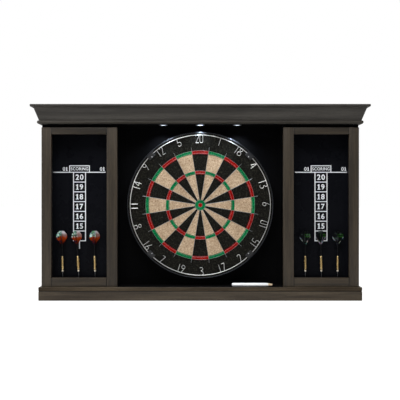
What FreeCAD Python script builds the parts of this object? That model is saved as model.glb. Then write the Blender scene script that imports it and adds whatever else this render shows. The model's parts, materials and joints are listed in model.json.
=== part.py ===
"""Wall-hung dart board cabinet: lit board bay, two fixed scoreboard wings, darts and a marker.

Frame: origin on the wall plane at the board's axis, +X to the right seen from the front,
+Y into the wall, +Z up.  Millimetres.
"""
import FreeCAD, Part
import math
import os

from FreeCAD import Vector

# ---- carcass ---------------------------------------------------------------------------
BODY_HALF = 490.0            # half of the width over the side panels
BAY_HALF = 256.5             # half of the clear width of the board bay
PANEL = 18.0                 # thickness of sides, dividers, frames and plinth
INNER_TOP = 250.0            # underside of the top panel
INNER_BOTTOM = -252.0        # upper face of the bottom panel
BASE_BOTTOM = -294.0
BACK_THICK = 6.0
RAIL_THICK = 12.0            # hanging rails, which touch the wall
RAIL_TALL = 44.0
FRAME_FRONT = -95.0          # front face of the wing frames
FRAME_BACK = FRAME_FRONT + PANEL
BACK_FRONT = -(RAIL_THICK + BACK_THICK)
SIDE_INNER = BODY_HALF - PANEL
DIVIDER_OUTER = BAY_HALF + PANEL

TOP_THICK = 11.0
TOP_PROUD = 11.5             # top panel beyond the body
TOP_ROUND = 5.2
SLAB_THICK = 12.5
BASE_PROUD = 8.0             # bottom panel and plinth beyond the body
SLAB_ROUND = 2.5
GROOVE = 1.5                 # chamfers that make the groove above the plinth

CROWN_TALL = 48.0
CROWN_PROUD = 30.0
CROWN_INNER = -4.0           # back of the crown, measured like CROWN_PROUD
CAP_TALL = 8.0

WALL_SCREW_X = 203.2         # half of a 16 inch stud spacing
WALL_SCREW_Z = 229.0
WALL_SCREW_R = 2.75

# ---- wings -----------------------------------------------------------------------------
FRAME_TOP = 240.0
OUTER_STILE = 30.0
INNER_STILE = 32.0
TOP_RAIL = 21.0
BOTTOM_RAIL = 28.0
STILE_ROUND = 1.2
DOWEL_R = 3.0
DOWEL_LONG = 30.0
STRIP_THICK = 6.0
SCORE_FACE = -38.0
SCORE_THICK = 6.0
SCORE_GAP = 1.0
BATTEN_WIDE = 30.0
LEDGE_TOP = -226.0
LEDGE_THICK = 18.0
DART_HOLE_R = 1.9
DART_HOLE_DEEP = 15.0

# ---- board -----------------------------------------------------------------------------
BOARD_R = 228.0
BOARD_FACE = -68.0
BOARD_BACK = -30.0
BACKING_THICK = 8.0
BAND_THICK = 1.4
LIP_WIDE = 3.2
LIP_TALL = 1.6
WIRE = 1.2                   # width and height of the spider's blades
SPIDER_RADII = (6.35, 15.9, 99.0, 107.0, 162.0, 170.0)
SPIDER_REACH = 182.0
SECTORS = 20
RING_R = 218.5
RING_WIRE = 2.2
RING_FLOAT = 0.3             # gap between the number ring and the face
DIGIT_TALL = 24.0
DIGIT_WIDE = 10.0
DIGIT_STEP = 14.0
NUMBERS = (20, 1, 18, 4, 13, 6, 10, 15, 2, 17, 3, 19, 7, 16, 8, 11, 14, 9, 12, 5)
CLIP_WIDE = 24.0
SCREW_SHANK_R = 2.5
SCREW_HEAD_R = 6.0

# ---- lights ----------------------------------------------------------------------------
LIGHT_X = (-115.0, 0.0, 115.0)
LIGHT_Y = -76.0
LIGHT_R = 12.0
LIGHT_TOP = 268.0
WIRE_R = 1.2
WIRE_Z = 264.5
WIRE_ENTRY = 16.0            # spacing of the wire holes in the battery box
BOX_HALF = 32.0
BOX_FRONT = -58.0
BOX_BACK = -8.0
BOX_TALL = 21.0
BOX_WALL = 1.8
BATTERY_R = 7.25
BATTERY_LONG = 50.5
BATTERY_STEP = 15.3

# ---- darts and marker ------------------------------------------------------------------
DART_Y = -62.0
DART_CENTRE = 378.8
DART_PITCH = 50.5
DART_TIP_Z = -239.0
DART_LEANS = (-1.7, -3.0, -0.9, -0.3, -0.9, 0.3)    # degrees to the right, left to right
DART_TURNS = (8.0, -14.0, 20.0, -10.0, 16.0, -6.0)  # degrees of each flight about its axis
POINT_R = 1.1
POINT_LONG = 31.0
BARREL_R = 3.7
BARREL_LONG = 49.0
STEM_R = 2.3
FLIGHT_START = 117.5
FLIGHT_TALL = 42.0
FLIGHT_HALF = 18.5
FLIGHT_THICK = 0.5
PRONG_LONG = 14.0
MARKER_R = 5.5
MARKER_Y = -86.0
MARKER_LEFT = 98.0
MARKER_JOIN = 140.0
MARKER_RIGHT = 223.0

PARTS = "parts"
MIRROR = ((-1, "left"), (1, "right"))


# ---- helpers ---------------------------------------------------------------------------
def box(x, y, z):
    """Box from (low, high) pairs."""
    low = Vector(min(x), min(y), min(z))
    return Part.makeBox(abs(x[1] - x[0]), abs(y[1] - y[0]), abs(z[1] - z[0]), low)


def cylinder_y(radius, y, x=0.0, z=0.0):
    """Cylinder along Y between a pair of y values."""
    return Part.makeCylinder(radius, abs(y[1] - y[0]), Vector(x, min(y), z), Vector(0, 1, 0))


def cylinder_z(radius, z, x=0.0, y=0.0):
    """Cylinder along Z between a pair of z values."""
    return Part.makeCylinder(radius, abs(z[1] - z[0]), Vector(x, y, min(z)))


def cylinder_x(radius, x, y=0.0, z=0.0):
    """Cylinder along X between a pair of x values."""
    return Part.makeCylinder(radius, abs(x[1] - x[0]), Vector(min(x), y, z), Vector(1, 0, 0))


def ring_y(outer, inner, y):
    """Flat ring about the board's axis."""
    return cylinder_y(outer, y).cut(cylinder_y(inner, y))


def prism(points, direction):
    """Extrude a closed outline of points along a vector."""
    return Part.Face(Part.makePolygon(list(points) + [points[0]])).extrude(direction)


def turned(profile):
    """Solid turned about Z from (radius, height) points."""
    face = Part.Face(Part.makePolygon([Vector(r, 0, z) for r, z in profile] +
                                      [Vector(profile[0][0], 0, profile[0][1])]))
    return face.revolve(Vector(0, 0, 0), Vector(0, 0, 1), 360)


def mirrored_x(shape):
    """Mirror image across the cabinet's centre plane."""
    return shape.mirror(Vector(0, 0, 0), Vector(1, 0, 0))


def on_side(sign, shape):
    """The right-hand shape, or its mirror image for the left side."""
    return shape if sign > 0 else mirrored_x(shape)


def edges_where(shape, test):
    """Edges whose middle point passes a test."""
    return [edge for edge in shape.Edges if test(edge.CenterOfMass)]


def save(node, *solids):
    """Write one node's solids to its STEP file."""
    shape = solids[0] if len(solids) == 1 else Part.makeCompound(list(solids))
    shape.exportStep(os.path.join(PARTS, node + ".step"))


def wood_screw(x, y, z, down):
    """Countersunk screw along Z with its head's flat at z."""
    head_r, shank_r, cone, long = 4.0, 1.9, 3.0, 30.0
    screw = turned([(0, 0), (head_r, 0), (shank_r, cone), (shank_r, long - cone), (0, long)])
    if down:
        screw.rotate(Vector(0, 0, 0), Vector(1, 0, 0), 180)
    screw.translate(Vector(x, y, z))
    return screw


# ---- carcass ---------------------------------------------------------------------------
def carcass_screws():
    """Screws through the top and bottom panels into the sides and dividers."""
    screws = []
    for x in (BODY_HALF - PANEL / 2, BAY_HALF + PANEL / 2):
        for sign in (-1, 1):
            for y in (-60.0, -26.0):
                screws.append(wood_screw(sign * x, y, INNER_TOP + TOP_THICK, True))
                screws.append(wood_screw(sign * x, y, INNER_BOTTOM - SLAB_THICK, False))
    return screws


def light_holes():
    """Holes in the top panel for the three light housings."""
    return [cylinder_z(LIGHT_R + 0.3, (INNER_TOP - 5, LIGHT_TOP), x, LIGHT_Y) for x in LIGHT_X]


def top_panel():
    """Bullnosed panel that stands proud of the body at the front and sides."""
    half, front = BODY_HALF + TOP_PROUD, FRAME_FRONT - TOP_PROUD
    panel = box((-half, half), (front, 0), (INNER_TOP, INNER_TOP + TOP_THICK))
    rim = edges_where(panel, lambda c: (abs(c.y - front) < 1 or abs(abs(c.x) - half) < 1)
                      and abs(c.z - INNER_TOP - TOP_THICK / 2) > 1)
    return panel.makeFillet(TOP_ROUND, rim).cut(light_holes())


def bottom_panel():
    """Slab with an eased upper edge and a chamfer over the plinth."""
    half, front = BODY_HALF + BASE_PROUD, FRAME_FRONT - BASE_PROUD
    low = INNER_BOTTOM - SLAB_THICK
    slab = box((-half, half), (front, 0), (low, INNER_BOTTOM))

    def outside(c):
        return abs(c.y - front) < 1 or abs(abs(c.x) - half) < 1

    upper = edges_where(slab, lambda c: outside(c) and abs(c.z - INNER_BOTTOM) < 0.1)
    slab = slab.makeFillet(SLAB_ROUND, upper)
    lower = edges_where(slab, lambda c: outside(c) and abs(c.z - low) < 0.1)
    return slab.makeChamfer(GROOVE, lower)


def carcass_boards():
    """Flat boards of the carcass, by node name."""
    tall = (INNER_BOTTOM, INNER_TOP)
    boards = {
        "back_panel": [box((-SIDE_INNER, SIDE_INNER), (BACK_FRONT, -RAIL_THICK), tall)],
        "bracket_block": [box((-60, 60), (-RAIL_THICK, 0), (-55, 45))],
        "hanging_rails": [
            box((-SIDE_INNER, SIDE_INNER), (-RAIL_THICK, 0), (INNER_TOP - RAIL_TALL, INNER_TOP)),
            box((-SIDE_INNER, SIDE_INNER), (-RAIL_THICK, 0), (INNER_BOTTOM, INNER_BOTTOM + RAIL_TALL))],
        "top_panel": [top_panel()],
        "bottom_panel": [bottom_panel()],
    }
    for sign, side in MIRROR:
        boards[side + "_side"] = [on_side(sign, box((SIDE_INNER, BODY_HALF), (FRAME_BACK, 0), tall))]
        divider = box((BAY_HALF, DIVIDER_OUTER), (FRAME_BACK, BACK_FRONT), tall)
        boards[side + "_divider"] = [on_side(sign, divider)]
    return boards


def build_carcass():
    """Drill the boards for their screws and save them with the screws."""
    screws = carcass_screws()
    wall_holes = [cylinder_y(WALL_SCREW_R, (BACK_FRONT - 5, 5), x, z)
                  for x in (-WALL_SCREW_X, WALL_SCREW_X) for z in (-WALL_SCREW_Z, WALL_SCREW_Z)]
    bracket = bracket_screws()
    for node, solids in carcass_boards().items():
        tools = screws
        if node in ("back_panel", "hanging_rails", "bracket_block"):
            tools = wall_holes + bracket
        save(node, *[solid.cut(tools) for solid in solids])
    save("carcass_screws", *screws)


# ---- mouldings -------------------------------------------------------------------------
def crown_profile():
    """Crown section as (distance out from the body, height) edges: slope, cove, cap."""
    foot, brow = (6.5, 261.0), (19.5, 296.0)
    cove_mid, cove_end = (21.6, 299.4), (27.0, 301.0)
    cap_low, cap_high = (CROWN_PROUD, 303.4), (CROWN_PROUD, INNER_TOP + TOP_THICK + CROWN_TALL - 2.4)
    roof = (27.6, INNER_TOP + TOP_THICK + CROWN_TALL)
    back_high, back_low = (CROWN_INNER, roof[1]), (CROWN_INNER, foot[1])
    return [("line", foot, brow), ("arc", brow, cove_mid, cove_end),
            ("arc", cove_end, (29.1, 301.7), cap_low), ("line", cap_low, cap_high),
            ("arc", cap_high, (29.3, roof[1] - 0.7), roof), ("line", roof, back_high),
            ("line", back_high, back_low), ("line", back_low, foot)]


def plinth_profile():
    """Plinth section, chamfered at its top outer corner."""
    top, inner = INNER_BOTTOM - SLAB_THICK, BASE_PROUD - PANEL
    points = [(inner, BASE_BOTTOM), (BASE_PROUD - 1, BASE_BOTTOM), (BASE_PROUD, BASE_BOTTOM + 1),
              (BASE_PROUD, top - GROOVE), (BASE_PROUD - GROOVE, top), (inner, top)]
    return [("line", a, b) for a, b in zip(points, points[1:] + points[:1])]


def moulding(profile, place, along):
    """Extrude a section, whose points are placed in 3-D by a function."""
    edges = []
    for edge in profile:
        points = [place(*point) for point in edge[1:]]
        edges.append(Part.makeLine(*points) if edge[0] == "line" else Part.Arc(*points).toShape())
    return Part.Face(Part.Wire(edges)).extrude(along)


def mitred_set(profile, low, high):
    """Front length and right-hand return of a moulding, mitred at the body's corner."""
    far = 60.0
    x, y, tall = BODY_HALF, FRAME_FRONT, Vector(0, 0, high - low)
    front = moulding(profile, lambda out, z: Vector(-x - far, y - out, z), Vector(2 * (x + far), 0, 0))
    side = moulding(profile, lambda out, z: Vector(x + out, y - far, z), Vector(0, far - y, 0))
    front_zone = prism([Vector(-x - far, y - far, low), Vector(x + far, y - far, low),
                        Vector(x - far, y + far, low), Vector(-x + far, y + far, low)], tall)
    side_zone = prism([Vector(x + far, y - far, low), Vector(x + far, 0, low),
                       Vector(x - far, 0, low), Vector(x - far, y + far, low)], tall)
    return front.common(front_zone), side.common(side_zone)


def build_mouldings():
    """Crown and plinth, each a front length and two mitred returns."""
    for name, profile, low, high in (("crown", crown_profile(), 250.0, 320.0),
                                     ("plinth", plinth_profile(), -300.0, -260.0)):
        front, side = mitred_set(profile, low, high)
        save(name + "_front", front)
        save(name + "_returns", side, mirrored_x(side))


# ---- wings -----------------------------------------------------------------------------
def eased_board(x, z):
    """Frame member whose long front edges are slightly rounded."""
    board = box(x, (FRAME_FRONT, FRAME_BACK), z)
    upright = abs(z[1] - z[0]) > abs(x[1] - x[0])

    def long_front(c):
        middle = (z[0] + z[1]) / 2 if upright else (x[0] + x[1]) / 2
        return abs(c.y - FRAME_FRONT) < 0.1 and abs((c.z if upright else c.x) - middle) < 1

    return board.makeFillet(STILE_ROUND, edges_where(board, long_front))


def frame_dowels():
    """Two dowels across each joint between a stile and a rail of the right wing."""
    dowels = []
    for x in (BAY_HALF + INNER_STILE, BODY_HALF - OUTER_STILE):
        for z, reach in ((FRAME_TOP - TOP_RAIL / 2, 5.0), (INNER_BOTTOM + BOTTOM_RAIL / 2, 8.0)):
            for step in (-reach, reach):
                span = (x - DOWEL_LONG / 2, x + DOWEL_LONG / 2)
                dowels.append(cylinder_x(DOWEL_R, span, FRAME_FRONT + PANEL / 2, z + step))
    return dowels


def build_wings():
    """Fixed wing frames with scoreboards, battens, shadow strips and drilled dart ledges."""
    inner, outer = BAY_HALF + INNER_STILE, BODY_HALF - OUTER_STILE
    middle = (inner + outer) / 2
    dowels = frame_dowels()
    stiles = [eased_board((BAY_HALF, inner), (INNER_BOTTOM, FRAME_TOP)),
              eased_board((outer, BODY_HALF), (INNER_BOTTOM, FRAME_TOP))]
    rails = [eased_board((inner, outer), (FRAME_TOP - TOP_RAIL, FRAME_TOP)),
             eased_board((inner, outer), (INNER_BOTTOM, INNER_BOTTOM + BOTTOM_RAIL))]
    board = box((DIVIDER_OUTER + SCORE_GAP, SIDE_INNER - SCORE_GAP),
                (SCORE_FACE, SCORE_FACE + SCORE_THICK), (INNER_BOTTOM + SCORE_GAP, INNER_TOP - SCORE_GAP))
    batten = box((middle - BATTEN_WIDE / 2, middle + BATTEN_WIDE / 2),
                 (SCORE_FACE + SCORE_THICK, BACK_FRONT), (INNER_BOTTOM, INNER_TOP))
    strip = box((BAY_HALF, BODY_HALF), (FRAME_BACK - STRIP_THICK, FRAME_BACK), (FRAME_TOP, INNER_TOP))
    ledge = box((DIVIDER_OUTER, SIDE_INNER), (FRAME_BACK, SCORE_FACE), (LEDGE_TOP - LEDGE_THICK, LEDGE_TOP))
    ledge = ledge.cut([cylinder_z(DART_HOLE_R, (LEDGE_TOP - DART_HOLE_DEEP, LEDGE_TOP + 1),
                                  DART_CENTRE + step * DART_PITCH, DART_Y) for step in (-1, 0, 1)])
    for sign, side in MIRROR:
        save(side + "_wing_stiles", *[on_side(sign, stile.cut(dowels)) for stile in stiles])
        save(side + "_wing_rails", *[on_side(sign, rail.cut(dowels)) for rail in rails])
        save(side + "_scoreboard", on_side(sign, board))
    save("frame_dowels", *(dowels + [mirrored_x(dowel) for dowel in dowels]))
    for node, shape in (("scoreboard_battens", batten), ("shadow_strips", strip), ("dart_ledges", ledge)):
        save(node, shape, mirrored_x(shape))


# ---- board bracket and board -----------------------------------------------------------
BRACKET_FACE = -26.0         # front of the raised plate
BRACKET_PLATE = 2.0
BRACKET_HALF = 22.0
BRACKET_FLANGE = 18.0


def bracket_screws():
    """Four pan-head screws that hold the bracket's flanges."""
    screws = []
    for x in (-BRACKET_HALF - BRACKET_FLANGE / 2, BRACKET_HALF + BRACKET_FLANGE / 2):
        for z in (-20.0, 16.0):
            head = cylinder_y(3.8, (BACK_FRONT - BRACKET_PLATE - 2.4, BACK_FRONT - BRACKET_PLATE), x, z)
            shank = cylinder_y(1.8, (BACK_FRONT - BRACKET_PLATE, -4.0), x, z)
            screws.append(head.fuse(shank).removeSplitter())
    return screws


def board_bracket():
    """Raised plate with an open slot, on two flanges screwed to the back."""
    low, high = -32.0, 30.0
    plate = box((-BRACKET_HALF, BRACKET_HALF), (BRACKET_FACE, BRACKET_FACE + BRACKET_PLATE), (low, high))
    slot_r = SCREW_SHANK_R + 0.05
    slot = cylinder_y(slot_r, (BRACKET_FACE - 1, BRACKET_FACE + 3))
    slot = slot.fuse(box((-slot_r, slot_r), (BRACKET_FACE - 1, BRACKET_FACE + 3), (0, high + 1)))
    lead_in = prism([Vector(-slot_r, BRACKET_FACE - 1, high - 7), Vector(slot_r, BRACKET_FACE - 1, high - 7),
                     Vector(slot_r + 6, BRACKET_FACE - 1, high + 1),
                     Vector(-slot_r - 6, BRACKET_FACE - 1, high + 1)], Vector(0, 4, 0))
    pieces = []
    for sign in (-1, 1):
        web = box((BRACKET_HALF - BRACKET_PLATE, BRACKET_HALF),
                  (BRACKET_FACE, BACK_FRONT), (low, high))
        flange = box((BRACKET_HALF - BRACKET_PLATE, BRACKET_HALF + BRACKET_FLANGE),
                     (BACK_FRONT - BRACKET_PLATE, BACK_FRONT), (low, high))
        pieces += [on_side(sign, web), on_side(sign, flange)]
    return plate.fuse(pieces).removeSplitter().cut([slot, lead_in] + bracket_screws())


def hanger_screw():
    """Screw in the board's back, whose head sits behind the bracket plate."""
    head_front = BRACKET_FACE + BRACKET_PLATE + 0.3
    head = cylinder_y(SCREW_HEAD_R, (head_front, head_front + 3.6))
    shank = cylinder_y(SCREW_SHANK_R, (BOARD_BACK - 6.0, head_front))
    return head.fuse(shank).removeSplitter()


def spider():
    """Scoring wires: six rings and twenty radial blades in one plane."""
    y = (BOARD_FACE - WIRE, BOARD_FACE)
    pieces = [ring_y(r + WIRE / 2, r - WIRE / 2, y) for r in SPIDER_RADII]
    for sector in range(SECTORS):
        blade = box((SPIDER_RADII[1], SPIDER_REACH), y, (-WIRE / 2, WIRE / 2))
        blade.rotate(Vector(0, 0, 0), Vector(0, 1, 0), (sector + 0.5) * 360.0 / SECTORS)
        pieces.append(blade)
    inner = pieces.pop(0)
    return [inner, pieces[0].fuse(pieces[1:]).removeSplitter()]


def digit_strokes(digit):
    """Strokes of a wire numeral in a box DIGIT_WIDE by DIGIT_TALL centred on u = 0.

    A line is ("line", start, end); an arc is ("arc", centre, radius, start, end) in degrees.
    """
    r, top = DIGIT_WIDE / 2, DIGIT_TALL
    upper, lower = (0, top - r), (0, r)
    strokes = {
        0: [("arc", upper, r, 0, 180), ("arc", lower, r, 180, 360),
            ("line", (-r, r), (-r, top - r)), ("line", (r, r), (r, top - r))],
        1: [("line", (0, 0), (0, top))],
        2: [("arc", upper, r, -30, 170), ("line", (r * 0.87, top - r * 1.5), (-r, 0)),
            ("line", (-r, 0), (r, 0))],
        3: [("arc", (0, top - r), r, -90, 150), ("arc", (0, r * 1.35), r * 1.3, -130, 90)],
        4: [("line", (r * 0.5, 0), (r * 0.5, top)), ("line", (r * 0.5, top), (-r, r * 1.4)),
            ("line", (-r, r * 1.4), (r, r * 1.4))],
        5: [("line", (r, top), (-r * 0.8, top)), ("line", (-r * 0.8, top), (-r * 0.8, top * 0.55)),
            ("arc", (0, r * 1.3), r * 1.3, -140, 125)],
        6: [("arc", lower, r, 0, 360), ("line", (-r, r), (r * 0.4, top))],
        7: [("line", (-r, top), (r, top)), ("line", (r, top), (-r * 0.4, 0))],
        8: [("arc", (0, top - r * 0.95), r * 0.9, 0, 360), ("arc", (0, r * 1.3), r * 1.3, 0, 360)],
        9: [("arc", upper, r, 0, 360), ("line", (r, top - r), (-r * 0.4, 0))],
    }
    return strokes[digit]


def stroke_solid(stroke, place, y):
    """Flat bar of the ring's wire width along a stroke, placed by a function of (u, v)."""
    half, deep = RING_WIRE / 2, Vector(0, y[1] - y[0], 0)
    if stroke[0] == "line":
        (u0, v0), (u1, v1) = stroke[1:]
        long = math.hypot(u1 - u0, v1 - v0)
        du, dv = (u1 - u0) / long * half, (v1 - v0) / long * half
        corners = [(u0 - du - dv, v0 - dv + du), (u0 - du + dv, v0 - dv - du),
                   (u1 + du + dv, v1 + dv - du), (u1 + du - dv, v1 + dv + du)]
        return prism([place(*corner) for corner in corners], deep)
    (cu, cv), radius, start, end = stroke[1:]
    if end - start >= 360:
        centre = place(cu, cv)
        bar = Part.makeCylinder(radius + half, deep.y, centre, Vector(0, 1, 0))
        return bar.cut(Part.makeCylinder(radius - half, deep.y, centre, Vector(0, 1, 0)))

    def point(r, degrees):
        angle = math.radians(degrees)
        return place(cu + r * math.cos(angle), cv + r * math.sin(angle))

    mid, out, inn = (start + end) / 2, radius + half, radius - half
    edges = [Part.Arc(point(out, start), point(out, mid), point(out, end)).toShape(),
             Part.makeLine(point(out, end), point(inn, end)),
             Part.Arc(point(inn, end), point(inn, mid), point(inn, start)).toShape(),
             Part.makeLine(point(inn, start), point(out, start))]
    return Part.Face(Part.Wire(edges)).extrude(deep)


def number_ring():
    """Wire ring with the twenty sector numbers hanging inward from it."""
    front = BOARD_FACE - RING_FLOAT - RING_WIRE
    y = (front, BOARD_FACE - RING_FLOAT)
    bars = []
    for index, number in enumerate(NUMBERS):
        angle = math.radians(90.0 - index * 360.0 / SECTORS)
        radial = Vector(math.cos(angle), 0, math.sin(angle))
        across = Vector(math.sin(angle), 0, -math.cos(angle))
        upright = radial.z > -0.01            # tops outward in the upper half
        up, right = (radial, across) if upright else (-radial, -across)
        base = radial * (RING_R - DIGIT_TALL if upright else RING_R) + Vector(0, front, 0)
        digits = [int(sign) for sign in str(number)]
        for place_index, digit in enumerate(digits):
            shift = (place_index - (len(digits) - 1) / 2) * DIGIT_STEP

            def place(u, v, base=base, right=right, up=up, shift=shift):
                return base + right * (u + shift) + up * v

            bars += [stroke_solid(stroke, place, y) for stroke in digit_strokes(digit)]
    ring = ring_y(RING_R + RING_WIRE / 2, RING_R - RING_WIRE / 2, y)
    return ring.fuse(bars).removeSplitter()


def ring_clips():
    """Four hooks that hold the number ring to the face at the diagonals."""
    clips = []
    roof_back = BOARD_FACE - RING_FLOAT - RING_WIRE - 0.4
    outer, across = BOARD_R - LIP_WIDE - 0.5, (-CLIP_WIDE / 2, CLIP_WIDE / 2)
    roof = box((outer - 15.0, outer), (roof_back - 1.8, roof_back), across)
    leg = box((outer - 3.5, outer), (roof_back, BOARD_FACE), across)
    hook = roof.fuse(leg).removeSplitter()
    hook = hook.makeFillet(0.8, edges_where(hook, lambda c: abs(c.y - roof_back + 1.8) < 0.05))
    for quarter in range(4):
        clip = hook.copy()
        clip.rotate(Vector(0, 0, 0), Vector(0, 1, 0), 45.0 + 90.0 * quarter)
        clips.append(clip)
    return clips


def build_board():
    """Bracket, hanger screw and the board with its band, wires, ring, clips and feet."""
    save("board_bracket", board_bracket())
    save("bracket_screws", *bracket_screws())
    screw = hanger_screw()
    save("hanger_screw", screw)
    core_r = BOARD_R - BAND_THICK - 0.1
    backing_front = BOARD_BACK - BACKING_THICK
    save("sisal_face", cylinder_y(core_r, (BOARD_FACE, backing_front)))
    backing = cylinder_y(core_r, (backing_front, BOARD_BACK))
    save("backing_disc", backing.cut(cylinder_y(SCREW_SHANK_R + 0.05, (BOARD_BACK - 6.0, BOARD_BACK))))
    band = ring_y(BOARD_R, BOARD_R - BAND_THICK, (BOARD_FACE, BOARD_BACK))
    lip = ring_y(BOARD_R, BOARD_R - LIP_WIDE, (BOARD_FACE - LIP_TALL, BOARD_FACE))
    band = band.fuse(lip).removeSplitter()
    front = BOARD_FACE - LIP_TALL
    save("steel_band", band.makeFillet(0.7, edges_where(band, lambda c: abs(c.y - front) < 0.05)))
    save("spider", *spider())
    save("number_ring", number_ring())
    save("ring_clips", *ring_clips())
    feet = []
    for angle in (90.0, 210.0, 330.0):
        x, z = 190.0 * math.cos(math.radians(angle)), 190.0 * math.sin(math.radians(angle))
        feet.append(cylinder_y(8.0, (BOARD_BACK, BACK_FRONT - 0.3), x, z))
    save("board_feet", *feet)


# ---- lights ----------------------------------------------------------------------------
def wire_path(points, radius):
    """Tube along one straight run, or along two runs joined by an arc at the middle point."""
    if len(points) == 2:
        return cylinder_between(points[0], points[1], radius)
    start, corner, end = points
    back, on = (start - corner).normalize(), (end - corner).normalize()
    turn = math.pi - back.getAngle(on)
    bend = 0.45 * min((start - corner).Length, (end - corner).Length) / math.tan(turn / 2)
    cut = bend * math.tan(turn / 2)
    into, out = corner + back * cut, corner + on * cut
    half = (back + on).normalize()
    middle = corner + half * (bend / math.cos(turn / 2) - bend)
    path = Part.Wire([Part.LineSegment(start, into).toShape(), Part.Arc(into, middle, out).toShape(),
                      Part.LineSegment(out, end).toShape()])
    section = Part.Wire(Part.makeCircle(radius, start, corner - start))
    tube = path.makePipeShell([section], True, False)
    expected = math.pi * radius ** 2 * path.Length
    print("wire: bend radius %.1f, length %.1f, volume ratio %.4f" % (bend, path.Length, tube.Volume / expected))
    return tube


def cylinder_between(start, end, radius):
    """Cylinder from one point to another."""
    return Part.makeCylinder(radius, (end - start).Length, start, end - start)


def wire_routes():
    """Route of each light's twin lead, from inside its housing to inside the battery box."""
    inside = BOX_FRONT + BOX_WALL + 0.3
    routes = []
    for x in LIGHT_X:
        side = (x > 0) - (x < 0)
        if side == 0:
            routes.append([Vector(0, LIGHT_Y + LIGHT_R - 2.0, WIRE_Z), Vector(0, inside, WIRE_Z)])
        else:
            entry = side * WIRE_ENTRY
            routes.append([Vector(x - side * (LIGHT_R - 2.0), LIGHT_Y, WIRE_Z),
                           Vector(entry, LIGHT_Y, WIRE_Z), Vector(entry, inside, WIRE_Z)])
    return routes


def build_lights():
    """Recessed lights: flanged housings, domed lenses, circuit boards and their leads."""
    housings, lenses, boards, wires = [], [], [], []
    routes = wire_routes()
    holes = [wire_path(route, WIRE_R + 0.15) for route in routes]
    for x in LIGHT_X:
        flange = cylinder_z(14.0, (INNER_TOP - 1.8, INNER_TOP), x, LIGHT_Y)
        shell = flange.fuse(cylinder_z(LIGHT_R, (INNER_TOP, LIGHT_TOP), x, LIGHT_Y))
        hollow = cylinder_z(LIGHT_R - 1.2, (INNER_TOP - 1.8, LIGHT_TOP - 1.2), x, LIGHT_Y)
        housings.append(shell.cut([hollow] + holes).removeSplitter())
        dome_r = 40.0
        lens = Part.makeSphere(dome_r, Vector(x, LIGHT_Y, INNER_TOP - 2.6 + dome_r))
        lenses.append(lens.common(cylinder_z(LIGHT_R - 1.3, (INNER_TOP - 5, INNER_TOP + 1), x, LIGHT_Y)))
        disc = cylinder_z(LIGHT_R - 1.3, (256.0, 257.6), x, LIGHT_Y)
        chip = box((x - 2.5, x + 2.5), (LIGHT_Y - 2.5, LIGHT_Y + 2.5), (255.0, 256.0))
        boards.append(disc.fuse(chip).removeSplitter())
    wires = [wire_path(route, WIRE_R) for route in routes]
    save("light_housings", *housings)
    save("light_lenses", *lenses)
    save("light_circuit_boards", *boards)
    save("light_wires", *wires)
    build_battery_box(holes)


def build_battery_box(wire_holes):
    """Battery tray on the top panel, with a sliding lid, three cells, contacts and a switch."""
    floor, top = INNER_TOP + TOP_THICK, INNER_TOP + TOP_THICK + BOX_TALL
    inner_y = (BOX_FRONT + BOX_WALL, BOX_BACK - BOX_WALL)
    inner_x = BOX_HALF - BOX_WALL
    groove_z = (top - 3.5, top - 1.7)
    tray = box((-BOX_HALF, BOX_HALF), (BOX_FRONT, BOX_BACK), (floor, top))
    tray = tray.cut([box((-inner_x, inner_x), inner_y, (floor + BOX_WALL, top + 1)),
                     box((-inner_x, BOX_HALF + 1), (inner_y[0] - 1, inner_y[1] + 1), groove_z),
                     box((inner_x - 1, BOX_HALF + 1), inner_y, (groove_z[0], top + 1))] + wire_holes)
    switch_x, switch_y = (-50.0, -BOX_HALF), (-45.0, -21.0)
    pocket_x, pocket_y = (-45.0, -37.0), (-41.0, -25.0)
    block = box(switch_x, switch_y, (floor, top - 2)).cut(box(pocket_x, pocket_y, (top - 8, top)))
    save("battery_box", tray.fuse(block).removeSplitter())
    knob = box((pocket_x[0] + 0.2, pocket_x[1] - 0.2), (pocket_y[0] + 0.2, pocket_y[0] + 8.2),
               (top - 7.8, top + 1))
    save("switch_slider", knob)
    lid = box((-inner_x + 0.3, BOX_HALF), (inner_y[0] - 0.8, inner_y[1] + 0.8),
              (groove_z[0] + 0.2, groove_z[1] - 0.2))
    grip = box((BOX_HALF - 6, BOX_HALF - 3), (-43, -23), (groove_z[1] - 0.2, groove_z[1] + 0.8))
    save("battery_lid", lid.fuse(grip).removeSplitter())
    cells, contacts = [], []
    z, middle = floor + BOX_WALL + BATTERY_R + 0.1, (BOX_FRONT + BOX_BACK) / 2
    for index in (-1, 0, 1):
        y, way = middle + index * BATTERY_STEP, 1 if index else -1
        can = cylinder_x(BATTERY_R, (-BATTERY_LONG / 2, BATTERY_LONG / 2 - 1.5), y, z)
        cap = cylinder_x(2.75, (BATTERY_LONG / 2 - 1.5, BATTERY_LONG / 2), y, z)
        cell = can.fuse(cap).removeSplitter()
        cells.append(cell if way > 0 else mirrored_x(cell))
        for side in (-1, 1):
            face = side * (BATTERY_LONG / 2)
            contacts.append(box((face, face + side * 0.6), (y - 5, y + 5), (z - 5, z + 5)))
    save("batteries", *cells)
    save("battery_contacts", *contacts)


# ---- darts and marker ------------------------------------------------------------------
def dart_barrel():
    """Grooved barrel with a rounded nose, above its steel point."""
    low, high = POINT_LONG, POINT_LONG + BARREL_LONG
    profile = [(0, low), (1.6, low), (3.0, low + 3.0), (BARREL_R, low + 8.0)]
    groove, pitch, z = 0.35, 3.0, low + 14.0
    while z < high - 8.0:
        profile += [(BARREL_R, z), (BARREL_R - groove, z + 0.4),
                    (BARREL_R - groove, z + 1.2), (BARREL_R, z + 1.6)]
        z += pitch
    return turned(profile + [(BARREL_R, high - 5.0), (2.8, high), (0, high)])


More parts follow.
